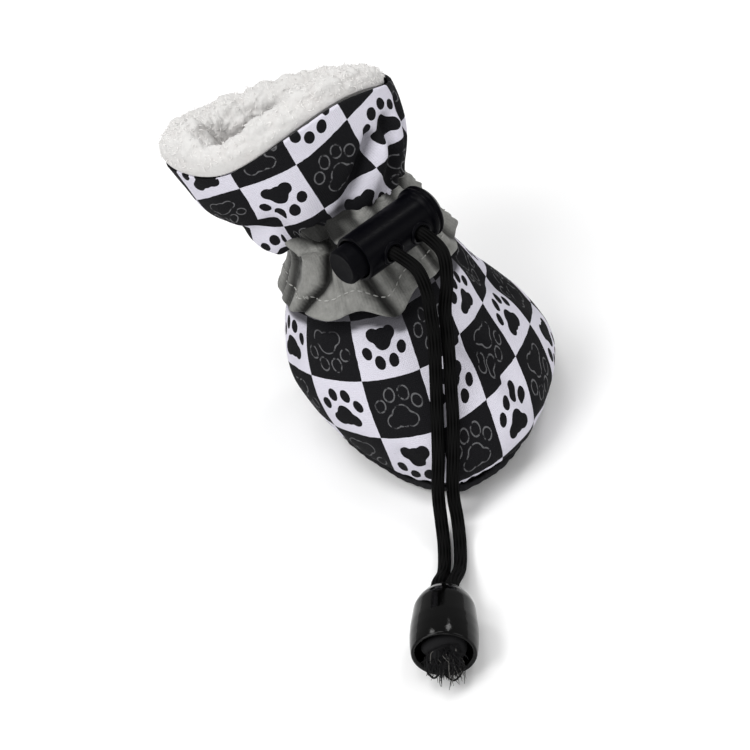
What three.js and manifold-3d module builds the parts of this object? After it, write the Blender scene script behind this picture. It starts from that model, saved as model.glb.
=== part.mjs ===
// Dog shoe: a soft boot with a studded textile sole, a checked upper gathered at the neck,
// a fleece-lined collar and a drawstring with a two-hole lock and a bell-shaped cord end.
// Millimetres, +Z up, toe towards -Y. The origin is on the floor, on the tip of the middle stud.
import * as THREE from "three";
import { mergeVertices } from "three/addons/utils/BufferGeometryUtils.js";
import Module from "manifold-3d";

const wasm = await Module();
wasm.setup();

// Driving sizes of the shoe
const soleLength = 54;
const pawWidth = 55;
const rimHeight = 65;
const upperWall = 1.8;
const rimWave = 4;
const seamGap = 0.3;

// Driving sizes of the sole
const soleThickness = 2;
const soleMargin = 0.8;
const toeSpring = 2.6;
const springShare = 0.34;
const studHeight = 0.8;
const studTipRadius = 0.6;
const studRootRadius = 1.05;
const studPitch = 5.9;
const studEdge = 3.2;
const studRoot = 0.4;
const insoleThickness = 1.6;

// Driving sizes of the casing and of the fleece
const casingThickness = 1.3;
const fleeceThickness = 7;
const fleeceRise = 5;
const fleeceDepth = 10;
const fleeceLump = 0.7;
const fleeceLobes = [11, 19];
const fleeceTwist = [70, -130];

// Driving sizes of the drawstring, its lock and its bell
const cordDiameter = 2.6;
const cordClearance = 0.35;
const cordStep = 1.5;
const lockRadius = 4.8;
const lockLength = 20.4;
const lockFlangeRadius = 5.5;
const lockFlangeLength = 3.4;
const lockEndWall = 1.3;
const lockEdge = 0.5;
const buttonEdge = 0.45;
const boreRadius = 4.05;
const buttonClearance = 0.3;
const buttonOut = 3.4;
const buttonTravel = 3;
const holeSpacing = 7.5;
const holeWeb = 0.6;
const holeRingWidth = 0.75;
const holeRingRise = 0.45;
const bellLength = 14.6;
const bellRadius = 6.6;
const bellWall = 1.3;
const bellMouthRadius = 5.9;
const bellTopRim = 0.9;
const bellTopRise = 0.2;
const bellLift = 0.1;
const bellLead = 3;
const knotPlace = 0.45;
const knotOut = 2.4;

// Fineness
const turns = 60;
const stepsPerSection = 2;
const latheTurns = 24;
const placeStep = 0.05;
const angleStep = 2;

const radians = THREE.MathUtils.degToRad;
const seatHeight = studHeight + soleThickness + seamGap;

// Sections of the upper from the sole seam to the rim. up is a share of the rise from the seam
// to the rim, left, right and leanX are shares of the paw's width, front, back and leanY of the
// sole's length, roll and pitch are the section's own slope in degrees, and the toe and heel
// columns are the roundness powers of its front and back halves, where 2 is an ellipse.
const sections = [
  { up: 0.0, left: 0.37, right: 0.385, front: 0.55, back: 0.445, leanX: 0.03, leanY: 0,
    roll: 0, pitch: 0, toeLeft: 1.32, heelLeft: 2.7, toeRight: 1.62, heelRight: 1.95 },
  { up: 0.06, left: 0.42, right: 0.45, front: 0.575, back: 0.49, leanX: 0.035, leanY: -0.02,
    roll: 0, pitch: 0, toeLeft: 1.34, heelLeft: 2.6, toeRight: 1.78, heelRight: 1.78 },
  { up: 0.16, left: 0.455, right: 0.475, front: 0.53, back: 0.525, leanX: 0.03, leanY: -0.035,
    roll: 0, pitch: 0, toeLeft: 1.4, heelLeft: 2.4, toeRight: 1.9, heelRight: 1.68 },
  { up: 0.27, left: 0.47, right: 0.44, front: 0.44, back: 0.5, leanX: 0.015, leanY: -0.01,
    roll: 0, pitch: 0, toeLeft: 1.55, heelLeft: 2.3, toeRight: 1.95, heelRight: 1.65 },
  { up: 0.385, left: 0.425, right: 0.335, front: 0.355, back: 0.425, leanX: -0.005, leanY: 0.055,
    roll: 1, pitch: 2, toeLeft: 1.8, heelLeft: 2.2, toeRight: 1.95, heelRight: 1.75 },
  { up: 0.5, left: 0.345, right: 0.28, front: 0.272, back: 0.335, leanX: -0.03, leanY: 0.11,
    roll: 2, pitch: 6, toeLeft: 2, heelLeft: 2.1, toeRight: 2, heelRight: 2 },
  { up: 0.615, left: 0.235, right: 0.227, front: 0.185, back: 0.222, leanX: -0.075, leanY: 0.185,
    roll: 4, pitch: 14, toeLeft: 2, heelLeft: 2, toeRight: 2, heelRight: 2 },
  { up: 0.685, left: 0.225, right: 0.205, front: 0.167, back: 0.204, leanX: -0.1, leanY: 0.222,
    roll: 5, pitch: 18, toeLeft: 2, heelLeft: 2, toeRight: 2, heelRight: 2 },
  { up: 0.75, left: 0.33, right: 0.255, front: 0.188, back: 0.235, leanX: -0.14, leanY: 0.26,
    roll: 6, pitch: 20, toeLeft: 2, heelLeft: 2, toeRight: 2, heelRight: 2 },
  { up: 0.835, left: 0.405, right: 0.355, front: 0.226, back: 0.272, leanX: -0.185, leanY: 0.305,
    roll: 7, pitch: 20, toeLeft: 2, heelLeft: 2, toeRight: 2, heelRight: 2 },
  { up: 0.93, left: 0.42, right: 0.415, front: 0.238, back: 0.283, leanX: -0.23, leanY: 0.346,
    roll: 7, pitch: 20, toeLeft: 2, heelLeft: 2.1, toeRight: 2, heelRight: 2.1 },
  { up: 1.0, left: 0.425, right: 0.435, front: 0.243, back: 0.29, leanX: -0.258, leanY: 0.37,
    roll: 7, pitch: 20, toeLeft: 2, heelLeft: 2.1, toeRight: 2, heelRight: 2.1 },
];
const columns = Object.keys(sections[0]);
const lastSection = sections.length - 1;
const neckSection = 7;
const waveSection = 8.5;

// Gathers of the neck, one row for each. angle goes round from the right side, with the toe at
// -90, ridge is a height in shares of the upper's wall, width is in degrees, and below and above
// are how many sections the gather runs down over the paw and up into the collar.
const gathers = [
  { angle: -172, ridge: 0.7, width: 12, below: 1.0, above: 1.7 },
  { angle: -137, ridge: 0.85, width: 11, below: 1.2, above: 1.4 },
  { angle: -104, ridge: 0.6, width: 10, below: 1.3, above: 2.0 },
  { angle: -71, ridge: 0.8, width: 11, below: 1.1, above: 1.6 },
  { angle: -35, ridge: 0.75, width: 12, below: 1.0, above: 2.6 },
  { angle: 3, ridge: 0.9, width: 11, below: 1.3, above: 2.2 },
  { angle: 38, ridge: 0.7, width: 12, below: 1.1, above: 1.5 },
  { angle: 76, ridge: 0.85, width: 11, below: 1.4, above: 1.8 },
  { angle: 113, ridge: 0.65, width: 12, below: 1.0, above: 1.3 },
  { angle: 151, ridge: 0.8, width: 11, below: 1.2, above: 1.9 },
];

// One row of the sections table at a place s, counted in sections, as a smooth curve
function sectionAt(s) {
  const i = Math.min(lastSection - 1, Math.max(0, Math.floor(s)));
  const f = s - i;
  const row = (k) => sections[Math.min(lastSection, Math.max(0, k))];
  const made = {};
  for (const c of columns) {
    const [p0, p1, p2, p3] = [row(i - 1)[c], row(i)[c], row(i + 1)[c], row(i + 2)[c]];
    const bend = (2 * p0 - 5 * p1 + 4 * p2 - p3) * f * f + (3 * p1 - p0 - 3 * p2 + p3) * f * f * f;
    made[c] = 0.5 * (2 * p1 + (p2 - p0) * f + bend);
  }
  return made;
}

// How far the toe's end of the sole and the foot of the upper rise off the flat
function springAt(y, up) {
  const start = -springShare * soleLength;
  const run = Math.max(0, (start - y) / (sections[1].front * soleLength + start));
  return toeSpring * run * run * Math.max(0, 1 - up / sections[3].up);
}

// How far the collar's front dips on the left and rises on the right
function waveAt(s, angle) {
  const front = Math.max(0, -Math.sin(radians(angle)));
  const fade = Math.max(0, (s - waveSection) / (lastSection - waveSection));
  return rimWave * front * fade * fade * Math.sin(radians(2 * (angle + 90)));
}

// A point of the upper's smooth outside at place s and angle in degrees
function smoothPoint(s, angle) {
  const row = sectionAt(s);
  const [c, d] = [Math.cos(radians(angle)), Math.sin(radians(angle))];
  const power = 2 / row[(d < 0 ? "toe" : "heel") + (c < 0 ? "Left" : "Right")];
  const wide = (c < 0 ? row.left : row.right) * pawWidth;
  const long = (d < 0 ? row.front : row.back) * soleLength;
  const x = Math.sign(c) * Math.abs(c) ** power * wide;
  const y = Math.sign(d) * Math.abs(d) ** power * long;
  const [roll, pitch] = [radians(row.roll), radians(row.pitch)];
  const point = new THREE.Vector3(
    row.leanX * pawWidth + x * Math.cos(roll),
    row.leanY * soleLength + y * Math.cos(pitch),
    seatHeight + row.up * (rimHeight - seatHeight) + x * Math.sin(roll) - y * Math.sin(pitch),
  );
  point.z += springAt(point.y, row.up) + waveAt(s, angle);
  return point;
}

// The outward direction there, from neighbouring points
function outwardAt(s, angle) {
  const low = Math.max(0, s - placeStep);
  const high = Math.min(lastSection, s + placeStep);
  const along = smoothPoint(high, angle).sub(smoothPoint(low, angle));
  return roundAt(s, angle).cross(along).normalize();
}

// The way round the section there
function roundAt(s, angle) {
  return smoothPoint(s, angle + angleStep).sub(smoothPoint(s, angle - angleStep));
}

function turnBetween(a, b) {
  return Math.abs(THREE.MathUtils.euclideanModulo(a - b + 180, 360) - 180);
}

// Height of the gathers' ridges at a place
function gatherAt(s, angle) {
  let sum = 0;
  for (const g of gathers) {
    const reach = s < neckSection ? g.below : g.above;
    const fade = Math.exp(-(((s - neckSection) / reach) ** 2));
    sum += g.ridge * fade * Math.exp(-((turnBetween(angle, g.angle) / g.width) ** 2));
  }
  return sum * upperWall;
}

// A point at a distance out from the upper's gathered outside, or in from its smooth outside
function offsetPoint(s, angle, out) {
  const lift = out < 0 ? out : out + gatherAt(s, angle);
  return smoothPoint(s, angle).addScaledVector(outwardAt(s, angle), lift);
}

// Closed surface from a grid of rings of points: each ring closes on itself, and so does the
// row of rings, unless its ends are capped
function ringSurface(rings, capped) {
  const positions = [];
  const faces = [];
  const n = rings[0].length;
  rings.forEach((ring) => ring.forEach((p) => positions.push(p.x, p.y, p.z)));
  const count = capped ? rings.length - 1 : rings.length;
  for (let i = 0; i < count; i++) {
    const j = (i + 1) % rings.length;
    for (let k = 0; k < n; k++) {
      const m = (k + 1) % n;
      faces.push(i * n + k, i * n + m, j * n + m, i * n + k, j * n + m, j * n + k);
    }
  }
  if (capped) {
    const last = (rings.length - 1) * n;
    for (let k = 1; k < n - 1; k++) {
      faces.push(0, k + 1, k, last, last + k, last + k + 1);
    }
  }
  const made = new THREE.BufferGeometry();
  made.setAttribute("position", new THREE.Float32BufferAttribute(positions, 3));
  made.setIndex(faces);
  return made;
}

function solidOf(geometry) {
  const bare = geometry.clone();
  bare.deleteAttribute("normal");
  bare.deleteAttribute("uv");
  const merged = mergeVertices(bare, 1e-4);
  return new wasm.Manifold(
    new wasm.Mesh({
      numProp: 3,
      vertProperties: new Float32Array(merged.attributes.position.array),
      triVerts: new Uint32Array(merged.index.array),
    }),
  );
}

function geometryOf(solid) {
  const mesh = solid.getMesh();
  const made = new THREE.BufferGeometry();
  made.setAttribute("position", new THREE.BufferAttribute(mesh.vertProperties, 3));
  made.setIndex(new THREE.BufferAttribute(mesh.triVerts, 1));
  made.computeVertexNormals();
  return made;
}

const group = new THREE.Group();
function addPiece(name, geometry, color, roughness, parent = group) {
  const material = new THREE.MeshStandardMaterial({ color, roughness, metalness: 0 });
  const mesh = new THREE.Mesh(geometry, material);
  mesh.name = name;
  parent.add(mesh);
  return mesh;
}

const ringAngles = Array.from({ length: turns }, (_, k) => (360 * k) / turns);
const ringAt = (pointAt) => ringAngles.map(pointAt);

// Upper: outside up, rim, inside down, seam edge
function makeUpper() {
  const rings = [];
  const count = lastSection * stepsPerSection;
  for (let i = 0; i <= count; i++) {
    rings.push(ringAt((a) => offsetPoint(i / stepsPerSection, a, 0)));
  }
  for (let i = lastSection; i >= 0; i--) {
    rings.push(ringAt((a) => offsetPoint(i, a, -upperWall)));
  }
  return ringSurface(rings, false);
}

// Casing: a gathered strip round the neck that reaches lower at the front, with a scalloped edge
const casingTop = 7.75;
const casingFoot = 5.1;
const casingSlant = 0.15;
const casingScallop = 0.06;
const casingEdge = 0.45;
const casingRows = 4;
function casingPlace(row, angle) {
  const slant = casingSlant * Math.cos(radians(angle));
  const scallop = casingScallop * Math.cos(radians(angle * gathers.length));
  const foot = casingFoot + slant + scallop;
  return foot + ((casingTop - foot) * row) / casingRows;
}
function casingPuff(row) {
  const swell = Math.sin((Math.PI * row) / casingRows);
  return casingThickness * THREE.MathUtils.lerp(casingEdge, 1, swell);
}
function makeCasing() {
  const rings = [];
  for (let i = 0; i <= casingRows; i++) {
    const out = seamGap + casingPuff(i);
    rings.push(ringAt((a) => offsetPoint(casingPlace(i, a), a, out)));
  }
  for (let i = casingRows; i >= 0; i--) {
    rings.push(ringAt((a) => offsetPoint(casingPlace(i, a), a, seamGap)));
  }
  return ringSurface(rings, false);
}

// Fleece: a lumpy roll inside the mouth that turns over the rim. rise is a share of the fleece's
// rise over the rim, or below nought of its depth in the mouth, and out is a share of its own
// thickness in from the wall, or above nought out over the rim.
const fleeceProfile = [
  { rise: -1, out: 0, lump: 0 },
  { rise: -0.5, out: 0, lump: 0 },
  { rise: 0.09, out: 0, lump: 0 },
  { rise: 0.09, out: 0.24, lump: 0 },
  { rise: 0.5, out: 0.3, lump: 0.5 },
  { rise: 0.9, out: 0.08, lump: 1 },
  { rise: 1, out: -0.25, lump: 1 },
  { rise: 0.75, out: -0.7, lump: 1 },
  { rise: 0.1, out: -0.98, lump: 1 },
  { rise: -0.6, out: -0.85, lump: 1 },
];
const rimUp = new THREE.Vector3(0, 0, 1)
  .applyAxisAngle(new THREE.Vector3(0, 1, 0), -radians(sections[lastSection].roll))
  .applyAxisAngle(new THREE.Vector3(1, 0, 0), -radians(sections[lastSection].pitch));
const riseOfSection = (sections[lastSection].up - sections[lastSection - 2].up) * rimHeight;
function fleecePoint(row, angle) {
  const { rise, out, lump: share } = fleeceProfile[row];
  const waves = fleeceLobes.map((n, k) => Math.sin(radians(angle * n + row * fleeceTwist[k])));
  const lump = (share * fleeceLump * (waves[0] + waves[1])) / 2;
  const inward = -upperWall - seamGap + out * fleeceThickness;
  const place = lastSection + (Math.min(0, rise) * fleeceDepth * 2) / riseOfSection;
  return smoothPoint(place, angle)
    .addScaledVector(outwardAt(place, angle), inward - lump)
    .addScaledVector(rimUp, Math.max(0, rise) * (fleeceRise + lump));
}
function makeFleece() {
  return ringSurface(
    fleeceProfile.map((_, row) => ringAt((a) => fleecePoint(row, a))),
    false,
  );
}

// Outline of the sole: the foot of the upper and a margin for the seam
function outlinePoint(angle, share, margin) {
  const foot = smoothPoint(0, angle);
  const flat = new THREE.Vector3(foot.x, foot.y, 0);
  const out = new THREE.Vector3(foot.x, foot.y, 0).normalize();
  return flat.addScaledVector(out, margin).multiplyScalar(share);
}
const soleShares = [0.45, 0.8, 1];
const insoleShares = [0.6, 1];
function makeSlab(shares, bottom, thickness, margin) {
  const level = (share, z) =>
    ringAt((a) => {
      const p = outlinePoint(a, share, margin);
      p.z = z + springAt(p.y, 0);
      return p;
    });
  const rings = shares.map((share) => level(share, bottom));
  const upward = [...shares].reverse();
  upward.forEach((share) => rings.push(level(share, bottom + thickness)));
  return ringSurface(rings, true);
}

// Rubber studs: a diagonal grid over the sole, kept in from its edge
function studPlaces() {
  const places = [];
  const step = studPitch / Math.SQRT2;
  const reach = Math.ceil(soleLength / step);
  for (let i = -reach; i <= reach; i++) {
    for (let j = -reach; j <= reach; j++) {
      const place = new THREE.Vector3((i - j) * step, (i + j) * step, 0);
      const angles = ringAngles.map((a) => outlinePoint(a, 1, soleMargin));
      const inside = new THREE.Shape(angles.map((p) => new THREE.Vector2(p.x, p.y)));
      const clear = angles.every((p) => p.distanceTo(place) > studEdge);
      if (clear && holdsPoint(inside.getPoints(), place)) places.push(place);
    }
  }
  return places;
}
function holdsPoint(outline, p) {
  let inside = false;
  outline.forEach((a, k) => {
    const b = outline[(k + 1) % outline.length];
    const crosses = a.y > p.y !== b.y > p.y;
    if (crosses && p.x < a.x + ((p.y - a.y) * (b.x - a.x)) / (b.y - a.y)) inside = !inside;
  });
  return inside;
}
function makeOutsole() {
  let solid = solidOf(makeSlab(soleShares, studHeight, soleThickness, soleMargin));
  const height = studHeight + studRoot;
  for (const place of studPlaces()) {
    const stud = new THREE.CylinderGeometry(studRootRadius, studTipRadius, height, 6);
    stud.rotateX(Math.PI / 2);
    stud.translate(place.x, place.y, height / 2 + springAt(place.y, 0));
    solid = solid.add(solidOf(stud));
  }
  return geometryOf(solid);
}

// Cord lock. Its own frame has +Y along the barrel from the button to the far end, and +Z out
// of the cord holes. It sits against the casing on the shoe's front right.
const lockAngle = -46;
const lockPlace = 7.4;
const lockDip = 6;
const lockSlide = -8.5;
const lockStandoff = 2.1;
const holeRadius = cordDiameter / 2 + cordClearance;
const barrelFoot = -lockLength / 2 + buttonOut / 2;
const barrelTop = barrelFoot + lockLength;
const boreTop = barrelTop - lockEndWall;
const plungerTop = boreTop - buttonTravel - buttonClearance;
const farHole = plungerTop - holeWeb - holeRadius;
const nearHole = farHole - holeSpacing;
function lockMatrix() {
  const row = casingRows / 2;
  const seat = offsetPoint(lockPlace, lockAngle, seamGap + casingPuff(row));
  const along = roundAt(lockPlace, lockAngle).setZ(0).normalize();
  const out = new THREE.Vector3(along.y, -along.x, 0);
  const axis = along.clone().applyAxisAngle(out, -radians(lockDip));
  const side = new THREE.Vector3().crossVectors(axis, out);
  const centre = seat
    .clone()
    .addScaledVector(out, lockRadius + lockStandoff)
    .addScaledVector(axis, lockSlide);
  return new THREE.Matrix4().makeBasis(side, axis, out).setPosition(centre);
}
const lockFrame = lockMatrix();

// A solid turned about Y from pairs of a radius and a height
function turned(profile, count) {
  return new THREE.LatheGeometry(profile.map(([x, y]) => new THREE.Vector2(x, y)), count);
}

function crossHole(place, length) {
  const hole = new THREE.CylinderGeometry(holeRadius, holeRadius, length, 12);
  hole.rotateX(Math.PI / 2);
  hole.translate(0, place, 0);
  return solidOf(hole);
}
function makeBarrel() {
  const shoulder = barrelTop - lockFlangeLength;
  const profile = [
    [boreRadius, barrelFoot],
    [lockRadius - lockEdge, barrelFoot],
    [lockRadius, barrelFoot + lockEdge],
    [lockRadius, shoulder - lockEdge],
    [lockFlangeRadius, shoulder + lockEdge],
    [lockFlangeRadius, barrelTop - 2 * lockEdge],
    [lockFlangeRadius - 2 * lockEdge, barrelTop],
    [0, barrelTop],
    [0, boreTop],
    [boreRadius, boreTop],
    [boreRadius, barrelFoot],
  ];
  let solid = solidOf(turned(profile, latheTurns));
  const ringRise = lockRadius + holeRingRise - boreRadius - buttonClearance;
  for (const place of [nearHole, farHole]) {
    const ringRadius = holeRadius + holeRingWidth;
    const ring = new THREE.CylinderGeometry(ringRadius, ringRadius, ringRise, 12);
    ring.rotateX(Math.PI / 2);
    ring.translate(0, place, lockRadius + holeRingRise - ringRise / 2);
    solid = solid.add(solidOf(ring)).subtract(crossHole(place, 4 * lockRadius));
  }
  return geometryOf(solid);
}
function makeButton() {
  const radius = boreRadius - buttonClearance;
  const foot = barrelFoot - buttonOut;
  const profile = [
    [0, foot],
    [radius - buttonEdge, foot],
    [radius, foot + buttonEdge],
    [radius, plungerTop],
    [0, plungerTop],
  ];
  let solid = solidOf(turned(profile, latheTurns));
  const slotLength = 2 * holeRadius + buttonTravel;
  for (const place of [nearHole, farHole]) {
    const slot = new THREE.BoxGeometry(2 * holeRadius, slotLength, 4 * lockRadius);
    slot.translate(0, place - buttonTravel / 2, 0);
    solid = solid.subtract(solidOf(slot));
  }
  return geometryOf(solid);
}

// Drawstring: two strands from behind the lock, through its holes, down over the paw to the
// floor in front of the toe and into the bell
const strandBehind = 0.6;
const strandAhead = 2.2;
const bellTop = new THREE.Vector3(-6.4, -59.5, bellRadius + bellLift);
const bellHeading = new THREE.Vector3(-0.2, -1, 0).normalize();
const bellSide = new THREE.Vector3(bellHeading.y, -bellHeading.x, 0);
const strandPitch = cordDiameter + cordClearance;
function strandPoints(hole, side, middle) {
  const through = [-lockRadius - strandBehind, 0, lockRadius + strandAhead].map((z) =>
    new THREE.Vector3(0, hole, z).applyMatrix4(lockFrame),
  );
  const bellIn = (depth) =>
    bellTop
      .clone()
      .addScaledVector(bellHeading, depth)
      .addScaledVector(bellSide, (side * strandPitch) / 2);
  return [...through, ...middle, bellIn(-bellLead), bellIn(0), bellIn(bellLength * knotPlace)];
}
const leftMiddle = [
  [4.7, -15.8, 50.3],
  [5.4, -17.8, 46.2],
  [5, -18.9, 41],
  [4.4, -19.7, 35.2],
  [3.3, -21.1, 29.4],
  [2.1, -23.3, 24.2],
  [0.8, -26.8, 19.8],
  [-0.8, -31.6, 15.2],
  [-2.2, -34.1, 10.8],
  [-2.9, -35, 6.8],
  [-3.4, -37, 3.6],
  [-4.1, -41.8, 1.9],
  [-5.4, -49.4, 2.8],
];
const rightMiddle = [
  [10.3, -12.3, 49.6],
  [9.7, -15.4, 45.4],
  [8, -17.4, 40.4],
  [7.2, -18.6, 35],
  [6.3, -20.3, 29.6],
  [5.2, -22.8, 24.6],
  [4, -26.6, 20],
  [2.3, -31.4, 15.4],
  [0.8, -34, 10.8],
  [0.1, -35, 6.8],
  [-0.2, -37, 3.6],
  [-0.9, -41.8, 1.9],
  [-2.2, -49.4, 2.8],
];
function makeStrand(hole, side, middle) {
  const points = middle.map(([x, y, z]) => new THREE.Vector3(x, y, z));
  const route = new THREE.CatmullRomCurve3(strandPoints(hole, side, points));
  const section = new THREE.Shape().absarc(0, 0, cordDiameter / 2, 0, 2 * Math.PI);
  const steps = Math.round(route.getLength() / (cordStep * cordDiameter));
  return new THREE.ExtrudeGeometry(section, {
    steps,
    curveSegments: 4,
    extrudePath: route,
  });
}

// Bell, lying on its side, and the knot in its mouth. Both have +Y along the bell's heading.
const bellMatrix = new THREE.Matrix4()
  .makeBasis(bellSide, bellHeading, new THREE.Vector3().crossVectors(bellSide, bellHeading))
  .setPosition(bellTop);
const bellWaist = bellRadius * 0.94;
function makeBell() {
  const hole = strandPitch / 2 + cordDiameter / 2 + cordClearance;
  const profile = [
    [hole, 0],
    [hole + bellTopRim, -bellTopRise],
    [bellRadius * 0.82, bellLength * 0.12],
    [bellWaist, bellLength * 0.38],
    [bellRadius, bellLength * 0.72],
    [bellRadius * 0.97, bellLength * 0.95],
    [bellMouthRadius, bellLength],
    [bellRadius - bellWall, bellLength * 0.93],
    [bellWaist - bellWall, bellLength * 0.38],
    [hole, bellLength * 0.16],
    [hole, 0],
  ];
  return turned(profile, latheTurns);
}
function makeKnot() {
  const fill = bellWaist - bellWall - cordClearance;
  const start = bellLength * knotPlace + cordClearance;
  const end = bellLength + knotOut;
  const profile = [
    [0, start],
    [fill * 0.7, start],
    [fill * 0.96, bellLength * 0.58],
    [fill * 0.9, bellLength * 0.72],
    [fill * 0.98, bellLength * 0.9],
    [fill * 0.72, bellLength + knotOut * 0.4],
    [fill * 0.34, end],
    [0, end],
  ];
  return turned(profile, latheTurns / 2);
}

addPiece("outsole", makeOutsole(), 0x17171a, 0.85);
const insoleMargin = -upperWall - 2 * seamGap;
const insoleGeometry = makeSlab(insoleShares, seatHeight, insoleThickness, insoleMargin);
addPiece("insole", insoleGeometry, 0xe9e7e3, 0.95);
addPiece("upper", makeUpper(), 0xcfcfd8, 0.9);
addPiece("casing", makeCasing(), 0x77777a, 0.8);
addPiece("fleece_collar", makeFleece(), 0xf1efec, 1);

const lock = new THREE.Group();
lock.applyMatrix4(lockFrame);
addPiece("lock_barrel", makeBarrel(), 0x121214, 0.35, lock);
addPiece("lock_button", makeButton(), 0x151518, 0.35, lock);
group.add(lock);

addPiece("drawcord_left", makeStrand(nearHole, 1, leftMiddle), 0x141416, 0.8);
addPiece("drawcord_right", makeStrand(farHole, -1, rightMiddle), 0x141416, 0.8);

const cordEnd = new THREE.Group();
cordEnd.applyMatrix4(bellMatrix);
addPiece("cord_bell", makeBell(), 0x0f0f11, 0.2, cordEnd);
addPiece("cord_knot", makeKnot(), 0x19191b, 0.85, cordEnd);
group.add(cordEnd);

export default group;
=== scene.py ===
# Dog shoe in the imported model's frame: printed cloth, fleece collar, gathered casing, drawstring,
# cord lock and bell. Lengths are millimetres until a mesh is made, unless a name says otherwise.
import math
import random

import bpy
import numpy as np
from mathutils import Matrix, Vector, noise


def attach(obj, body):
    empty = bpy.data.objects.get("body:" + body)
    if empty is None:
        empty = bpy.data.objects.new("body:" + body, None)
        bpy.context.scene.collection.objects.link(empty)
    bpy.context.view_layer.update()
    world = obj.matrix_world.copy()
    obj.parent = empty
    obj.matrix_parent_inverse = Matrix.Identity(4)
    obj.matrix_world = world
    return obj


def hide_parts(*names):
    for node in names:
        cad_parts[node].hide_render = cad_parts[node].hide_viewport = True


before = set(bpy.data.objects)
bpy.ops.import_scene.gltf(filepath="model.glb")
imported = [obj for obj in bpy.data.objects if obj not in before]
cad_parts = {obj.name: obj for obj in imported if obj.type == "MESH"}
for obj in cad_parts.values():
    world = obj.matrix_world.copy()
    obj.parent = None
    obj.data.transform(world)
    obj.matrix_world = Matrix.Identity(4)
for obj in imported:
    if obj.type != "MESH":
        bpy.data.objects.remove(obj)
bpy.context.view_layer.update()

MM = 0.001

# Camera: the photograph's direction to the shoe, and its roll
VIEW_ELEVATION = 42
VIEW_ROLL = 15
VIEW_DISTANCE = 0.7
VIEW_LENS = 170
VIEW_TARGET = Vector((0, 0, 0.035))
VIEW_OFFSET = (-0.0039, -0.0187)
SENSOR_WIDTH = 36
FLOOR_HALF = 3000

# Driving sizes of the shoe, the same as in the part
SOLE_LENGTH = 54
PAW_WIDTH = 55
RIM_HEIGHT = 65
UPPER_WALL = 1.8
SEAM_GAP = 0.3
SOLE_THICKNESS = 2
SOLE_MARGIN = 0.8
TOE_SPRING = 2.6
SPRING_SHARE = 0.34
STUD_HEIGHT = 0.8
STUD_RADIUS = 1.0
STUD_PITCH = 5.9
STUD_EDGE = 3.2
INSOLE_THICKNESS = 1.6
FLEECE_THICKNESS = 7
FLEECE_RISE = 5
FLEECE_DEPTH = 10
CORD_DIAMETER = 2.6
CORD_CLEARANCE = 0.35
LOCK_RADIUS = 4.8
LOCK_LENGTH = 20.4
LOCK_FLANGE_RADIUS = 5.5
LOCK_FLANGE_LENGTH = 3.4
LOCK_END_WALL = 1.3
BORE_RADIUS = 4.05
BUTTON_CLEARANCE = 0.3
BUTTON_OUT = 3.4
BUTTON_TRAVEL = 3
HOLE_SPACING = 7.5
HOLE_WEB = 0.6
BELL_LENGTH = 14.6
BELL_RADIUS = 6.6
BELL_WALL = 1.3
BELL_MOUTH_RADIUS = 5.9
SEAT_HEIGHT = STUD_HEIGHT + SOLE_THICKNESS + SEAM_GAP

# Sections of the upper from the sole seam to the rim, as shares and degrees
COLUMNS = ("up", "left", "right", "front", "back", "lean_x", "lean_y", "roll", "pitch",
           "toe_left", "heel_left", "toe_right", "heel_right")
SECTIONS = np.array([
    (0.0, 0.37, 0.385, 0.55, 0.445, 0.03, 0, 0, 0, 1.32, 2.7, 1.62, 1.95),
    (0.06, 0.42, 0.45, 0.575, 0.49, 0.035, -0.02, 0, 0, 1.34, 2.6, 1.78, 1.78),
    (0.16, 0.455, 0.475, 0.53, 0.525, 0.03, -0.035, 0, 0, 1.4, 2.4, 1.9, 1.68),
    (0.27, 0.47, 0.44, 0.44, 0.5, 0.015, -0.01, 0, 0, 1.55, 2.3, 1.95, 1.65),
    (0.385, 0.425, 0.335, 0.355, 0.425, -0.005, 0.055, 1, 2, 1.8, 2.2, 1.95, 1.75),
    (0.5, 0.345, 0.28, 0.272, 0.335, -0.03, 0.11, 2, 6, 2, 2.1, 2, 2),
    (0.615, 0.235, 0.227, 0.185, 0.222, -0.075, 0.185, 4, 14, 2, 2, 2, 2),
    (0.685, 0.225, 0.205, 0.167, 0.204, -0.1, 0.222, 5, 18, 2, 2, 2, 2),
    (0.75, 0.33, 0.255, 0.188, 0.235, -0.14, 0.26, 6, 20, 2, 2, 2, 2),
    (0.835, 0.405, 0.355, 0.226, 0.272, -0.185, 0.305, 7, 20, 2, 2, 2, 2),
    (0.93, 0.42, 0.415, 0.238, 0.283, -0.23, 0.346, 7, 20, 2, 2.1, 2, 2.1),
    (1.0, 0.425, 0.435, 0.243, 0.29, -0.258, 0.37, 7, 20, 2, 2.1, 2, 2.1),
])
LAST = len(SECTIONS) - 1
NECK = 7
RIM_WAVE = 4
WAVE_PLACE = 8.5

# Gathers of the neck: angle, ridge in shares of the wall, width in degrees, reach down and up
GATHERS = np.array([
    (-172, 0.7, 12, 1.0, 1.7),
    (-137, 0.85, 11, 1.2, 1.4),
    (-104, 0.6, 10, 1.3, 2.0),
    (-71, 0.8, 11, 1.1, 1.6),
    (-35, 0.75, 12, 1.0, 2.6),
    (3, 0.9, 11, 1.3, 2.2),
    (38, 0.7, 12, 1.1, 1.5),
    (76, 0.85, 11, 1.4, 1.8),
    (113, 0.65, 12, 1.0, 1.3),
    (151, 0.8, 11, 1.2, 1.9),
])


# Steps along the upper and round it between which its outward direction is taken
PLACE_STEP = 0.05
ANGLE_STEP = 2


# The upper's form

def spline(p0, p1, p2, p3, f):
    """Catmull-Rom curve from p1 to p2 at the share f."""
    bend = (2 * p0 - 5 * p1 + 4 * p2 - p3) * f**2 + (3 * p1 - p0 - 3 * p2 + p3) * f**3
    return 0.5 * (2 * p1 + (p2 - p0) * f + bend)


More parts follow.
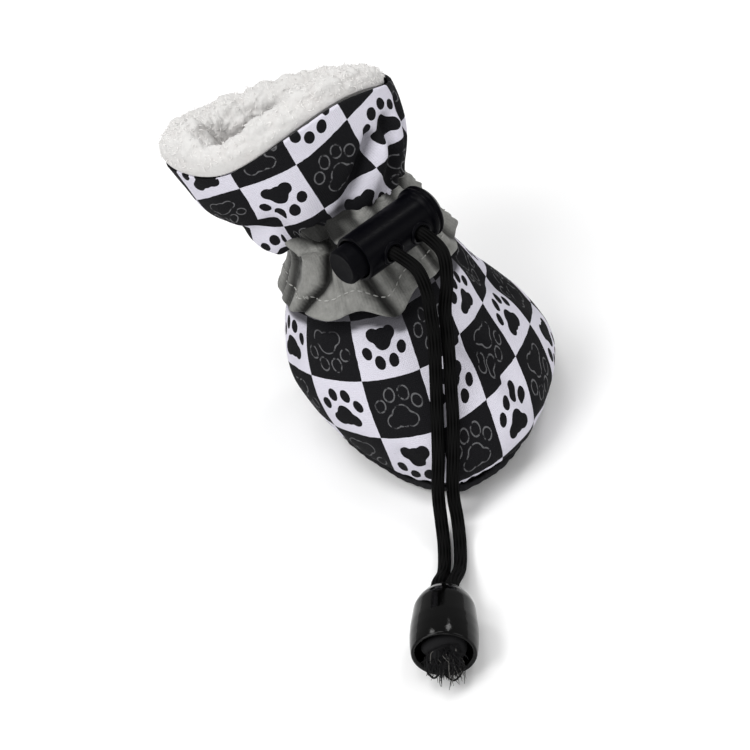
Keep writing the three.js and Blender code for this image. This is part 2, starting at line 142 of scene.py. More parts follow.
def section_at(s):
    s = np.clip(s, 0, LAST)
    i = np.clip(np.floor(s).astype(int), 0, LAST - 1)
    f = (s - i)[..., None]
    corners = [SECTIONS[np.clip(i + k, 0, LAST)] for k in (-1, 0, 1, 2)]
    return dict(zip(COLUMNS, np.moveaxis(spline(*corners, f), -1, 0)))


def spring_at(y, up=0.0):
    start = -SPRING_SHARE * SOLE_LENGTH
    front = SECTIONS[1, COLUMNS.index("front")] * SOLE_LENGTH
    run = np.maximum(0, (start - y) / (front + start))
    return TOE_SPRING * run**2 * np.maximum(0, 1 - up / SECTIONS[3, 0])


def wave_at(s, angle):
    front = np.maximum(0, -np.sin(np.radians(angle)))
    fade = np.maximum(0, (s - WAVE_PLACE) / (LAST - WAVE_PLACE))
    return RIM_WAVE * front * fade**2 * np.sin(np.radians(2 * (angle + 90)))


def smooth_point(s, angle):
    s, angle = np.broadcast_arrays(np.asarray(s, float), np.asarray(angle, float))
    row = section_at(s)
    c, d = np.cos(np.radians(angle)), np.sin(np.radians(angle))
    left = np.where(d < 0, row["toe_left"], row["heel_left"])
    right = np.where(d < 0, row["toe_right"], row["heel_right"])
    power = 2 / np.where(c < 0, left, right)
    wide = np.where(c < 0, row["left"], row["right"]) * PAW_WIDTH
    long = np.where(d < 0, row["front"], row["back"]) * SOLE_LENGTH
    x = np.sign(c) * np.abs(c) ** power * wide
    y = np.sign(d) * np.abs(d) ** power * long
    roll, pitch = np.radians(row["roll"]), np.radians(row["pitch"])
    at_x = row["lean_x"] * PAW_WIDTH + x * np.cos(roll)
    at_y = row["lean_y"] * SOLE_LENGTH + y * np.cos(pitch)
    rise = row["up"] * (RIM_HEIGHT - SEAT_HEIGHT)
    at_z = SEAT_HEIGHT + rise + x * np.sin(roll) - y * np.sin(pitch)
    at_z = at_z + spring_at(at_y, row["up"]) + wave_at(s, angle)
    return np.stack([at_x, at_y, at_z], -1)


def unit(v):
    return v / np.maximum(np.linalg.norm(v, axis=-1, keepdims=True), 1e-9)


def outward_at(s, angle):
    along = smooth_point(np.minimum(s + PLACE_STEP, LAST), angle)
    along = along - smooth_point(np.maximum(s - PLACE_STEP, 0), angle)
    round_ = smooth_point(s, angle + ANGLE_STEP) - smooth_point(s, angle - ANGLE_STEP)
    return unit(np.cross(round_, along))


def turn_between(a, b):
    return np.abs((a - b + 180) % 360 - 180)


def bell_curve(distance, width):
    return np.exp(-((distance / width) ** 2))


def near_angle(angle, at, width):
    """1 at one angle, and less on both sides of it."""
    return bell_curve(turn_between(angle, at), width)


def bulges_at(angle, total, rows):
    for at, width, share in rows:
        total = total + share * near_angle(angle, at, width)
    return total


def smooth_step(share):
    share = np.clip(share, 0, 1)
    return share**2 * (3 - 2 * share)


def angles_round(count):
    return np.linspace(-180, 180, count + 1)[:-1]


def turns(count):
    return np.linspace(0, 2 * np.pi, count, endpoint=False)


def grid_of(rows, columns):
    return np.meshgrid(rows, columns, indexing="ij")


def lengths_along(points, axis=0):
    """Millimetres along an axis of the points, from its first one."""
    run = np.cumsum(np.linalg.norm(np.diff(points, axis=axis), axis=-1), axis)
    return np.concatenate([np.zeros_like(np.take(run, [0], axis)), run], axis)


def gather_at(s, angle, rows=GATHERS):
    total = 0
    for at, ridge, width, below, above in rows:
        fade = bell_curve(s - NECK, np.where(s < NECK, below, above))
        total = total + ridge * fade * near_angle(angle, at, width)
    return total * UPPER_WALL


def noise_field(points, size, shift=0.0):
    """Smooth noise of about -1 to 1 whose bumps are size millimetres apart."""
    flat = (points.reshape(-1, 3) / size + shift).tolist()
    return np.array([noise.noise(p) for p in flat]).reshape(points.shape[:-1])


def clump_field(points, size, shift=0.0):
    """Rounded clumps of about size millimetres: 1 at their middles and 0 between them."""
    flat = (points.reshape(-1, 3) / size + shift).tolist()
    near = np.array([noise.voronoi(p)[0][0] for p in flat]).reshape(points.shape[:-1])
    return np.clip(1 - near, 0, 1) ** 0.7


# Meshes

def new_object(name, points, faces, loop_uv=None):
    mesh = bpy.data.meshes.new(name)
    mesh.from_pydata((np.asarray(points, float) * MM).tolist(), [], faces)
    if loop_uv is not None:
        layer = mesh.uv_layers.new(name="UVMap")
        layer.data.foreach_set("uv", np.asarray(loop_uv, np.float32).ravel())
    mesh.polygons.foreach_set("use_smooth", [True] * len(mesh.polygons))
    mesh.update()
    made = bpy.data.objects.new(name, mesh)
    bpy.context.scene.collection.objects.link(made)
    return made


def grid_object(name, points, uv=None, close_rows=False, flip=False, tone=None):
    """Surface from closed rows of points. close_rows joins the last row to the first as well. uv has
    one column more than points. The last argument becomes a vertex colour of painted light and shade
    that the materials read."""
    rows, cols = points.shape[:2]
    i, k = grid_of(np.arange(rows if close_rows else rows - 1), np.arange(cols))
    j, m = (i + 1) % rows, (k + 1) % cols
    quads = np.stack([i * cols + k, i * cols + m, j * cols + m, j * cols + k], -1).reshape(-1, 4)
    if uv is None:
        v, u = grid_of(np.linspace(0, 1, rows + 1), np.linspace(0, 1, cols + 1))
        uv = np.stack([u, v], -1)
    i2 = np.minimum(i + 1, uv.shape[0] - 1)
    loops = np.stack([uv[i, k], uv[i, k + 1], uv[i2, k + 1], uv[i2, k]], -2).reshape(-1, 4, 2)
    if flip:
        quads, loops = quads[:, ::-1], loops[:, ::-1]
    made = new_object(name, points.reshape(-1, 3), quads.tolist(), loops.reshape(-1, 2))
    if tone is not None:
        layer = made.data.color_attributes.new("tone", "FLOAT_COLOR", "POINT")
        shade = np.clip(tone.reshape(-1), 0, 1)
        layer.data.foreach_set("color", np.stack([shade, shade, shade, shade * 0 + 1], -1).ravel())
    return made


def joined(name, parts):
    """One mesh from several lots of points and faces."""
    points, faces = [], []
    for lot_points, lot_faces in parts:
        start = len(points)
        points.extend(np.asarray(lot_points, float).tolist())
        faces.extend([tuple(start + k for k in face) for face in lot_faces])
    return new_object(name, points, faces)


def ring_faces(rows, sides, closed=False):
    """Quads between rings of points, and from the last ring to the first where they are closed."""
    return [(i * sides + k, i * sides + (k + 1) % sides, (i + 1) % rows * sides + (k + 1) % sides,
             (i + 1) % rows * sides + k)
            for i in range(rows if closed else rows - 1) for k in range(sides)]


def tube(path, radii, sides):
    """Points and faces of a closed tube along a path, whose frame doesn't twist."""
    path = np.asarray(path, float)
    radii = np.broadcast_to(radii, len(path))
    along = unit(np.gradient(path, axis=0))
    side = unit(np.cross(along[0], (0.3, 0.2, 0.93)))
    rings = []
    for p, t, r in zip(path, along, radii):
        side = unit(side - t * np.dot(side, t))
        other = np.cross(t, side)
        turn = turns(sides)[:, None]
        rings.append(p + r * (np.cos(turn) * side + np.sin(turn) * other))
    count = len(path)
    faces = ring_faces(count, sides)
    faces.append(tuple(range(sides))[::-1])
    faces.append(tuple((count - 1) * sides + k for k in range(sides)))
    return np.concatenate(rings), faces


def placed(points, matrix):
    m = np.array(matrix)
    return points @ m[:3, :3].T + m[:3, 3]


def rounded(profile, radius=0.35, steps=4):
    """Profile with its inner corners rounded by short arcs."""
    profile = [np.array(p, float) for p in profile]
    made = [profile[0]]
    for before, corner, after in zip(profile, profile[1:], profile[2:]):
        cut = min(radius, np.linalg.norm(corner - before) / 2, np.linalg.norm(after - corner) / 2)
        start = corner + unit(before - corner) * cut
        end = corner + unit(after - corner) * cut
        for f in np.linspace(0, 1, steps + 1):
            made.append((1 - f) ** 2 * start + 2 * f * (1 - f) * corner + f**2 * end)
    made.append(profile[-1])
    return made


# Materials

class Graph:
    """A node material with short calls for its nodes."""

    def __init__(self, name, color, roughness, **values):
        self.material = bpy.data.materials.new(name)
        self.material.use_nodes = True
        self.tree = self.material.node_tree
        self.shader = self.tree.nodes["Principled BSDF"]
        self.set("Base Color", (*color, 1))
        self.set("Roughness", roughness)
        for key, value in values.items():
            self.set(key.replace("_", " "), value)

    def set(self, key, value):
        self.put(self.shader.inputs[key], value)

    def put(self, socket, value):
        if isinstance(value, bpy.types.NodeSocket):
            self.tree.links.new(value, socket)
        elif value is not None:
            socket.default_value = value

    def node(self, kind, inputs, output=0, **properties):
        made = self.tree.nodes.new(kind)
        for key, value in properties.items():
            setattr(made, key, value)
        for key, value in inputs.items():
            self.put(made.inputs[key], value)
        return made.outputs[output]

    def math(self, operation, *values):
        return self.node("ShaderNodeMath", dict(enumerate(values)), operation=operation)

    def add(self, a, b):
        return self.math("ADD", a, b)

    def minus(self, a, b):
        return self.math("SUBTRACT", a, b)

    def times(self, a, b):
        return self.math("MULTIPLY", a, b)

    def sine(self, a):
        return self.math("SINE", a)

    # Reads the vertex colour of painted light and shade, higher where the colour is painted lighter.
    def tone(self):
        return self.node("ShaderNodeVertexColor", {}, layer_name="tone")

    def place(self, scale_mm=1.0):
        """The point on the object, in units of scale_mm millimetres."""
        at = self.node("ShaderNodeTexCoord", {}, output="Object")
        return self.node("ShaderNodeVectorMath", {0: at, "Scale": 1 / (scale_mm * MM)},
                         operation="SCALE")

    def noise(self, size_mm, detail=2.0, roughness=0.5):
        return self.node("ShaderNodeTexNoise", {"Vector": self.place(size_mm), "Scale": 1.0,
                                                "Detail": detail, "Roughness": roughness})

    def blend(self, share, a, b):
        made = self.tree.nodes.new("ShaderNodeMix")
        made.data_type = "RGBA"
        self.put(made.inputs[0], share)
        self.put(made.inputs[6], (*a, 1) if isinstance(a, tuple) else a)
        self.put(made.inputs[7], (*b, 1) if isinstance(b, tuple) else b)
        return made.outputs[2]

    def between(self, value, low, high, to_low=0.0, to_high=1.0):
        return self.node("ShaderNodeMapRange", {"Value": value, "From Min": low, "From Max": high,
                                                "To Min": to_low, "To Max": to_high})

    def bump(self, height, depth_mm, strength=1.0):
        self.set("Normal", self.node("ShaderNodeBump", {
            "Height": height, "Distance": depth_mm * MM, "Strength": strength}))

    def uv(self):
        at = self.node("ShaderNodeUVMap", {}, uv_map="UVMap")
        split = self.tree.nodes.new("ShaderNodeSeparateXYZ")
        self.put(split.inputs[0], at)
        return split.outputs[0], split.outputs[1]


# Print of the cloth in shares of a check: the paw's toes and pad, and the line round it
CHECK_WHITE = (0.635, 0.62, 0.695)
PRINT_BLACK = (0.006, 0.006, 0.007)
PRINT_GREY = (0.11, 0.11, 0.115)
INNER_TOE = (0.117, 0.232, 0.086, 0.114, 0.1)
OUTER_TOE = (0.305, 0.058, 0.082, 0.108, 0.3)
PAD_LOBE = (0.148, -0.22, 0.112)
PAD_TOP = (0.0, -0.09, 0.138)
PAD_BASE = (0.0, -0.205, 0.112)
LINE_WIDTH = 0.011

PRINT_WANDER = 0.03
PRINT_THREADS = 200.0

# Fleece grain and casing weave in millimetres, the strands round the cord's cover, and the
# millimetres for one turn of them
PILE_SIZE = 1.1
PILE_DEPTH = 0.28
WEAVE_PITCH = 0.45
BRAID_STRANDS = 12
BRAID_PITCH = 13


def toe_distance(g, x, y, toe):
    at_x, at_y, wide, high, tilt = toe
    x, y = g.minus(x, at_x), g.minus(y, at_y)
    c, d = math.cos(tilt), math.sin(tilt)
    across = g.math("DIVIDE", g.add(g.times(x, c), g.times(y, d)), wide)
    along = g.math("DIVIDE", g.minus(g.times(y, c), g.times(x, d)), high)
    length = g.math("SQRT", g.add(g.times(across, across), g.times(along, along)))
    return g.times(g.minus(length, 1.0), wide)


def disc_distance(g, x, y, disc):
    at_x, at_y, radius = disc
    x, y = g.minus(x, at_x), g.minus(y, at_y)
    return g.minus(g.math("SQRT", g.add(g.times(x, x), g.times(y, y))), radius)


def paw_distance(g, u, v, col, row):
    pair = g.math("FLOOR", g.times(col, 0.5))
    odd = g.math("FLOORED_MODULO", g.add(pair, row), 2.0)
    way = g.minus(1.0, g.times(odd, 2.0))
    x = g.math("ABSOLUTE", g.minus(g.minus(u, col), 0.5))
    y = g.times(g.minus(0.5, g.minus(v, row)), way)
    toes = g.math("MINIMUM", toe_distance(g, x, y, INNER_TOE), toe_distance(g, x, y, OUTER_TOE))
    lobe, top = disc_distance(g, x, y, PAD_LOBE), disc_distance(g, x, y, PAD_TOP)
    pad = g.math("SMOOTH_MIN", g.math("SMOOTH_MIN", lobe, top, 0.12),
                 disc_distance(g, x, y, PAD_BASE), 0.05)
    return g.math("MINIMUM", toes, pad)


def make_print_cloth():
    g = Graph("upper_print", CHECK_WHITE, 0.85, Specular_IOR_Level=0.09)
    u, v = g.uv()
    wander = g.times(g.minus(g.noise(2.2), 0.5), PRINT_WANDER)
    u, v = g.add(u, wander), g.add(v, wander)
    col, row = g.math("FLOOR", u), g.math("FLOOR", v)
    black = g.math("FLOORED_MODULO", g.add(col, row), 2.0)
    paw = paw_distance(g, u, v, col, row)
    inside = g.math("LESS_THAN", paw, 0.0)
    broken = g.between(g.noise(1.1), 0.36, 0.5)
    line = g.times(g.math("LESS_THAN", g.math("ABSOLUTE", paw), LINE_WIDTH), broken)
    grain = g.between(g.noise(0.5, 3.0, 0.7), 0.3, 0.7, 0.86, 1.0)
    soil = g.between(g.noise(9.0), 0.3, 0.75, 0.94, 1.0)
    white = g.blend(g.times(grain, soil), (0.45, 0.44, 0.5), CHECK_WHITE)
    ink = g.blend(grain, (0.02, 0.02, 0.023), PRINT_BLACK)
    light = g.blend(inside, white, ink)
    dark = g.blend(line, ink, PRINT_GREY)
    # Painted shade: the cloth's colour darkens in deep folds, under the casing's hem and over the casing's
    # top.
    shade = g.tone()
    g.set("Base Color", g.blend(shade, (0.004, 0.004, 0.005), g.blend(black, light, dark)))
    threads = g.add(g.sine(g.times(u, PRINT_THREADS)), g.sine(g.times(v, PRINT_THREADS)))
    g.bump(g.add(g.times(threads, 0.2), g.noise(0.45, 3.0, 0.6)), 0.09)
    return g.material


def make_fleece():
    g = Graph("fleece_pile", (0.65, 0.64, 0.63), 1.0, Sheen_Weight=0.1, Specular_IOR_Level=0.05)
    # Painted shade and light: darker between the clumps, and much lighter where the vertex colour is high,
    # in the roll's hollow and on the clumps of the lining and footbed.
    tone = g.tone()
    pile = g.blend(g.between(tone, 0.1, 0.7), (0.57, 0.547, 0.535), (0.63, 0.623, 0.612))
    pile = g.blend(g.between(tone, 0.72, 1.0), pile, (0.9, 0.87, 0.86))
    speck = g.between(g.noise(PILE_SIZE, 4.0, 0.65), 0.35, 0.65, 0.45, 1.0)
    g.set("Base Color", g.blend(speck, g.blend(0.12, pile, (0.5, 0.47, 0.45)), pile))
    g.bump(g.noise(PILE_SIZE, 5.0, 0.7), PILE_DEPTH)
    return g.material


def make_curl():
    # The fibres are a lighter copy of the pile's colour: painted light that offsets their shaded sides.
    g = Graph("fleece_fibre", (0.75, 0.74, 0.725), 1.0, Specular_IOR_Level=0.05)
    g.set("Base Color", g.blend(g.noise(3.0), (0.76, 0.745, 0.73), (0.82, 0.812, 0.8)))
    return g.material


def make_casing_cloth():
    g = Graph("casing_cloth", (0.2, 0.2, 0.19), 0.6, Sheen_Weight=0.06, Specular_IOR_Level=0.15)
    mottle = g.between(g.noise(1.6, 4.0, 0.65), 0.3, 0.7)
    # Painted shade: the cloth blends towards near-black in the folds' valleys, where the vertex colour is
    # low.
    ridge = g.between(g.tone(), 0.08, 0.75)
    cloth = g.blend(mottle, (0.17, 0.17, 0.161), (0.25, 0.25, 0.236))
    g.set("Base Color", g.blend(ridge, (0.014, 0.014, 0.013), cloth))
    u, v = g.uv()
    weave = g.add(g.sine(g.times(u, 2 * math.pi / WEAVE_PITCH)),
                  g.sine(g.times(v, 2 * math.pi / WEAVE_PITCH)))
    rumple = g.add(g.times(g.noise(2.4, 3.0, 0.6), 2.2), g.times(weave, 0.12))
    g.bump(g.add(rumple, g.times(g.noise(0.5, 2.0), 0.4)), 0.16)
    return g.material


def make_plastic(name, color, roughness, wear=0.12, gloss=0.1):
    g = Graph(name, color, roughness, Specular_IOR_Level=gloss)
    scuff = g.noise(1.4, 5.0, 0.7)
    g.set("Roughness", g.between(scuff, 0.35, 0.7, roughness, roughness + wear))
    g.set("Base Color", g.blend(g.noise(6.0), tuple(0.8 * c for c in color), color))
    g.bump(g.noise(0.25, 2.0), 0.012)
    return g.material


def make_braid():
    g = Graph("cord_braid", (0.003, 0.003, 0.003), 0.8, Specular_IOR_Level=0.02)
    u, v = g.uv()
    round_, along = g.times(u, 2 * math.pi * BRAID_STRANDS), g.times(v, 2 * math.pi / BRAID_PITCH)
    one = g.sine(g.add(round_, along))
    two = g.sine(g.minus(round_, along))
    braid = g.math("MAXIMUM", one, two)
    shade = g.between(braid, -0.6, 1.0)
    g.set("Base Color", g.blend(shade, (0.001, 0.001, 0.001), (0.006, 0.006, 0.006)))
    g.bump(g.add(braid, g.times(g.noise(0.2, 2.0), 0.5)), 0.07)
    return g.material


def make_rib_cloth():
    g = Graph("sole_rib", (0.012, 0.012, 0.013), 0.85, Specular_IOR_Level=0.15)
    split = g.tree.nodes.new("ShaderNodeSeparateXYZ")
    g.put(split.inputs[0], g.place())
    across = g.times(g.add(split.outputs[0], split.outputs[1]), math.sqrt(0.5))
    rib = g.sine(g.times(across, 2 * math.pi / RIB_PITCH))
    shade = g.between(rib, -1.0, 0.6)
    g.set("Base Color", g.blend(shade, (0.004, 0.004, 0.004), (0.026, 0.026, 0.028)))
    g.bump(g.add(rib, g.times(g.noise(0.3, 3.0), 0.7)), 0.12)
    return g.material


def make_edge_cloth():
    g = Graph("sole_edge", (0.01, 0.01, 0.012), 0.85, Specular_IOR_Level=0.12)
    g.set("Base Color", g.blend(g.noise(0.8, 3.0), (0.005, 0.005, 0.006), (0.018, 0.018, 0.02)))
    g.bump(g.noise(0.4, 4.0, 0.7), 0.15)
    return g.material


def make_thread(name, color):
    g = Graph(name, color, 0.8, Specular_IOR_Level=0.15)
    g.set("Base Color", g.blend(g.noise(0.6), tuple(0.7 * c for c in color), color))
    g.bump(g.noise(0.15, 2.0), 0.04)
    return g.material


# Stage: pale floor, soft studio light and the camera

def look_matrix(eye, forward, up):
    right = forward.cross(up).normalized()
    top = right.cross(forward).normalized()
    made = Matrix((right, top, -forward)).transposed().to_4x4()
    made.translation = eye
    return made


def area_light(name, place, size, power, target=(0, 0, 0.03), shape=(1, 1)):
    data = bpy.data.lights.new(name, "AREA")
    data.shape = "RECTANGLE"
    data.size, data.size_y = size * shape[0], size * shape[1]
    data.energy = power
    lamp = bpy.data.objects.new(name, data)
    forward = (Vector(target) - Vector(place)).normalized()
    lamp.matrix_world = look_matrix(Vector(place), forward, Vector((0, 0, 1)))
    bpy.context.scene.collection.objects.link(lamp)


def make_stage():
    scene = bpy.context.scene
    scene.view_settings.view_transform = "Standard"
    world = bpy.data.worlds.new("studio")
    world.use_nodes = True
    background = world.node_tree.nodes["Background"]
    background.inputs["Color"].default_value = (1, 1, 1, 1)
    background.inputs["Strength"].default_value = 0.5
    scene.world = world
    half = FLOOR_HALF
    floor = new_object("floor", [(-half, -half, 0), (half, -half, 0), (half, half, 0), (-half, half, 0)],
                       [(0, 1, 2, 3)])
    g = Graph("floor_paper", (0.93, 0.93, 0.93), 0.9, Specular_IOR_Level=0.1)
    g.set("Base Color", g.blend(g.noise(60.0), (0.92, 0.92, 0.92), (0.94, 0.94, 0.94)))
    floor.data.materials.append(g.material)
    area_light("key", (-0.45, -0.3, 0.75), 0.4, 3.4)
    area_light("over", (-0.05, -0.06, 0.95), 0.3, 1.3)
    area_light("fill", (0.7, -0.5, 0.55), 0.5, 1.4)
    area_light("front", (-0.15, -0.9, 0.5), 0.3, 1.0, target=(-0.01, -0.06, 0.01), shape=(0.6, 1))
    for name, across in (("pane_left", -0.36), ("pane_right", 0.42)):
        area_light(name, (across, 0.3, 0.8), 0.22, 1.3, shape=(0.8, 1))


def make_camera():
    elevation, roll = math.radians(VIEW_ELEVATION), math.radians(VIEW_ROLL)
    back = Vector((0, -math.cos(elevation), math.sin(elevation)))
    right = Vector((1, 0, 0))
    up = back.cross(right)
    image_right = right * math.cos(roll) - up * math.sin(roll)
    image_up = right * math.sin(roll) + up * math.cos(roll)
    eye = VIEW_TARGET + back * VIEW_DISTANCE
    aim = VIEW_TARGET + image_right * VIEW_OFFSET[0] + image_up * VIEW_OFFSET[1]
    data = bpy.data.cameras.new("camera")
    data.lens = VIEW_LENS
    data.sensor_width = SENSOR_WIDTH
    camera = bpy.data.objects.new("camera", data)
    camera.matrix_world = look_matrix(eye, (aim - eye).normalized(), image_up)
    bpy.context.scene.collection.objects.link(camera)
    bpy.context.scene.camera = camera


make_stage()
make_camera()

# Drawstring: the part's two routes, from behind the lock through its holes to the bell
LEFT_ROUTE = (
    (-0.00477, -0.00272, 0.05178), (-0.00164, -0.00712, 0.05178), (0.00242, -0.01282, 0.05178),
    (0.0047, -0.0158, 0.0503), (0.0054, -0.0178, 0.0462), (0.005, -0.0189, 0.041),
    (0.0044, -0.0197, 0.0352), (0.0033, -0.0211, 0.0294), (0.0021, -0.0233, 0.0242),
    (0.0008, -0.0268, 0.0198), (-0.0008, -0.0316, 0.0152), (-0.0022, -0.0341, 0.0108),
    (-0.0029, -0.035, 0.0068), (-0.0034, -0.037, 0.0036), (-0.0041, -0.0418, 0.0019),
    (-0.0054, -0.0494, 0.0028), (-0.00726, -0.05627, 0.0067), (-0.00785, -0.05921, 0.0067),
    (-0.00913, -0.06565, 0.0067),
)
RIGHT_ROUTE = (
    (0.00131, 0.00161, 0.05099), (0.00444, -0.00279, 0.05099), (0.0085, -0.0085, 0.05099),
    (0.0103, -0.0123, 0.0496), (0.0097, -0.0154, 0.0454), (0.008, -0.0174, 0.0404),
    (0.0072, -0.0186, 0.035), (0.0063, -0.0203, 0.0296), (0.0052, -0.0228, 0.0246),
    (0.004, -0.0266, 0.02), (0.0023, -0.0314, 0.0154), (0.0008, -0.034, 0.0108),
    (0.0001, -0.035, 0.0068), (-0.0002, -0.037, 0.0036), (-0.0009, -0.0418, 0.0019),
    (-0.0022, -0.0494, 0.0028), (-0.00437, -0.05685, 0.0067), (-0.00495, -0.05979, 0.0067),
    (-0.00624, -0.06623, 0.0067),
)
CORD_SIDES = 24
CORD_STEP = 0.3


def curve_through(points, step):
    """Centripetal Catmull-Rom curve through points, sampled about a step apart."""
    p = np.asarray(points, float)
    p = np.concatenate([[2 * p[0] - p[1]], p, [2 * p[-1] - p[-2]]])
    made = []
    for p0, p1, p2, p3 in zip(p, p[1:], p[2:], p[3:]):
        t0 = 0.0
        t1 = t0 + np.linalg.norm(p1 - p0) ** 0.5
        t2 = t1 + np.linalg.norm(p2 - p1) ** 0.5
        t3 = t2 + np.linalg.norm(p3 - p2) ** 0.5
        count = max(2, round(np.linalg.norm(p2 - p1) / step))
        t = np.linspace(t1, t2, count, endpoint=False)[:, None]
        a1 = (t1 - t) / (t1 - t0) * p0 + (t - t0) / (t1 - t0) * p1
        a2 = (t2 - t) / (t2 - t1) * p1 + (t - t1) / (t2 - t1) * p2
        a3 = (t3 - t) / (t3 - t2) * p2 + (t - t2) / (t3 - t2) * p3
        b1 = (t2 - t) / (t2 - t0) * a1 + (t - t0) / (t2 - t0) * a2
        b2 = (t3 - t) / (t3 - t1) * a2 + (t - t1) / (t3 - t1) * a3
        made.append((t2 - t) / (t2 - t1) * b1 + (t - t1) / (t2 - t1) * b2)
    return np.concatenate([*made, p[-2:-1]])


def tube_object(name, path, radius, sides):
    """Tube with its length along it, in millimetres, as the second UV coordinate."""
    points, faces = tube(path, radius, sides)
    length = lengths_along(path)
    loop_uv = []
    for i in range(len(path) - 1):
        for k in range(sides):
            loop_uv += [(k / sides, length[i]), ((k + 1) / sides, length[i]),
                        ((k + 1) / sides, length[i + 1]), (k / sides, length[i + 1])]
    loop_uv += [(0, 0)] * sides + [(0, length[-1])] * sides
    return new_object(name, points, faces, loop_uv), length[-1]


braid = make_braid()


def make_strand(name, node, route):
    path = curve_through(np.array(route) / MM, CORD_STEP)
    strand, length = tube_object(name, path, CORD_DIAMETER / 2, CORD_SIDES)
    strand.data.materials.append(braid)
    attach(strand, "shoe")
    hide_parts(node)
    return strand, path, length


strands = [
    make_strand("strand_left", "drawcord_left", LEFT_ROUTE),
    make_strand("strand_right", "drawcord_right", RIGHT_ROUTE),
]

# Printed cloth: soft creases, each listed from one place to another with its width and height,
# and fine pleats that run out of the neck
BACK_SEAM = 90
CLOTH_COLUMNS = 480
BODY_ROWS = 120
COLLAR_ROWS = 96
RIM_ROWS = 10
LINING_ROWS = 110
LINING_COLUMNS = 240
LINING_REACH = (0.15, 10.6)
CLOTH_EDGE = 0.45
CREASES = (
    (5.4, -72, 3.9, -60, 1.7, -0.9),
    (3.9, -60, 1.2, -42, 1.8, -0.8),
    (5.2, -40, 3.4, -48, 1.9, 0.7),
    (5.4, -150, 3.4, -166, 2.2, -0.8),
    (5.3, -128, 4.2, -140, 1.8, 0.5),
    (5.3, -104, 4.3, -98, 2.0, -0.5),
    (4.9, -126, 4.8, -70, 1.3, -0.5),
    (5.4, -18, 3.0, 4, 2.4, -1.0),
    (5.3, 40, 3.1, 26, 2.4, -0.9),
    (5.4, 112, 3.2, 118, 2.6, -0.9),
    (5.2, 158, 2.6, 176, 2.4, -1.0),
    (4.6, 60, 4.4, 140, 1.8, -0.5),
    (2.0, -120, 1.2, -104, 1.6, -0.4),
    (8.4, -168, 8.75, -116, 0.8, -1.0),
    (9.6, -48, 7.9, -84, 1.5, -2.8),
    (9.3, -40, 7.9, -60, 1.7, 1.4),
    (9.9, -34, 8.0, -38, 1.5, -1.9),
    (9.6, -24, 8.0, -26, 1.7, 1.0),
    (10.2, -8, 8.0, -12, 1.8, -1.3),
    (8.3, -168, 8.0, -140, 1.5, -1.0),
    (8.0, -140, 8.2, -108, 1.5, -0.8),
    (8.9, -150, 8.6, -100, 2.2, 0.5),
    (9.8, 20, 8.1, 26, 2.0, -1.2),
    (9.6, 70, 8.0, 62, 2.0, -1.2),
    (9.7, 126, 8.0, 118, 2.0, -1.2),
    (9.4, 170, 8.1, 176, 2.0, -1.1),
)
PLEAT_COUNT = 40
PUCKER_PITCH = 3.4
PUCKER_RISE = 0.28

# Heights of the cloth's waves and of the back seam, and how much and where the neck calms them
SOFT_WAVE = 0.45
FINE_WAVE = 0.14
SEAM_DIP = 0.4
CALM_SHARE = 0.85
CALM_PLACE = 6.6

# Where the checks lie on the cloth: checks for each millimetre, the first check, and the bow of
# the rows
BODY_CHECK = dict(pitch=0.078, gather=1.1, fade=14, first=(1.78, -0.48), lean=0.006, down=0.0801,
                  side=0.006, bow=(0.47, 0.3), bow_width=25)
COLLAR_CHECK = dict(pitch=0.078, first=(2.147, 2.61), lean=0.0078, up=0.0887, slope=0.0105,
                    bow=0.5, bow_width=16)
SIDE_REACH = 30

# The casing's top and hem among the sections, and the hem's slant and scallops
CASING_TOP = 7.75
CASING_FOOT = 5.1
CASING_SLANT = 0.15
CASING_SCALLOP = 0.03

# Where the collar sags over the casing, and how far out and down
SAG_START = 7.85
SAG_PLACE = 8.15
SAG_END = 8.95
SAG_ANGLE = -127
SAG_WIDTH = 22
SAG_OUT = 2.1
SAG_DOWN = 6.6
UNDER_SHIFT = 0.26
UNDER_ANGLE = -140
LAP_SHIFT = 0.8
LAP_REACH = (-180, -110)
TUCK_PLACES = (-64, -44)
TUCK_SHIFT = 0.13


def pleat_rows():
    rng = random.Random(11)
    rows = []
    for k in range(PLEAT_COUNT):
        at = -180 + (k + 0.6 * rng.random()) * 360 / PLEAT_COUNT
        ridge = rng.choice((-1, 1)) * rng.uniform(0.12, 0.3)
        rows.append((at, ridge, rng.uniform(2.4, 4.2), rng.uniform(0.8, 1.9), rng.uniform(0.5, 1.3)))
    return np.array(rows)


PLEATS = pleat_rows()


def segment_distance(points, a, b):
    ab = b - a
    share = np.clip(((points - a) @ ab) / np.dot(ab, ab), 0, 1)
    return np.linalg.norm(points - a - share[..., None] * ab, axis=-1), share


def crease_lift(points):
    lift = np.zeros(points.shape[:-1])
    for s0, a0, s1, a1, width, height in CREASES:
        middle_s, middle_a = (s0 + s1) / 2, (a0 + a1) / 2
        ends = smooth_point(np.array([s0, middle_s, s1]), np.array([a0, middle_a, a1]))
        first, along_first = segment_distance(points, ends[0], ends[1])
        second, along_second = segment_distance(points, ends[1], ends[2])
        share = np.where(first < second, along_first, 1 + along_second) / 2
        fade = 1 - np.clip(share - 0.35, 0, 1) ** 1.5
        lift += height * fade * bell_curve(np.minimum(first, second), width)
    return lift


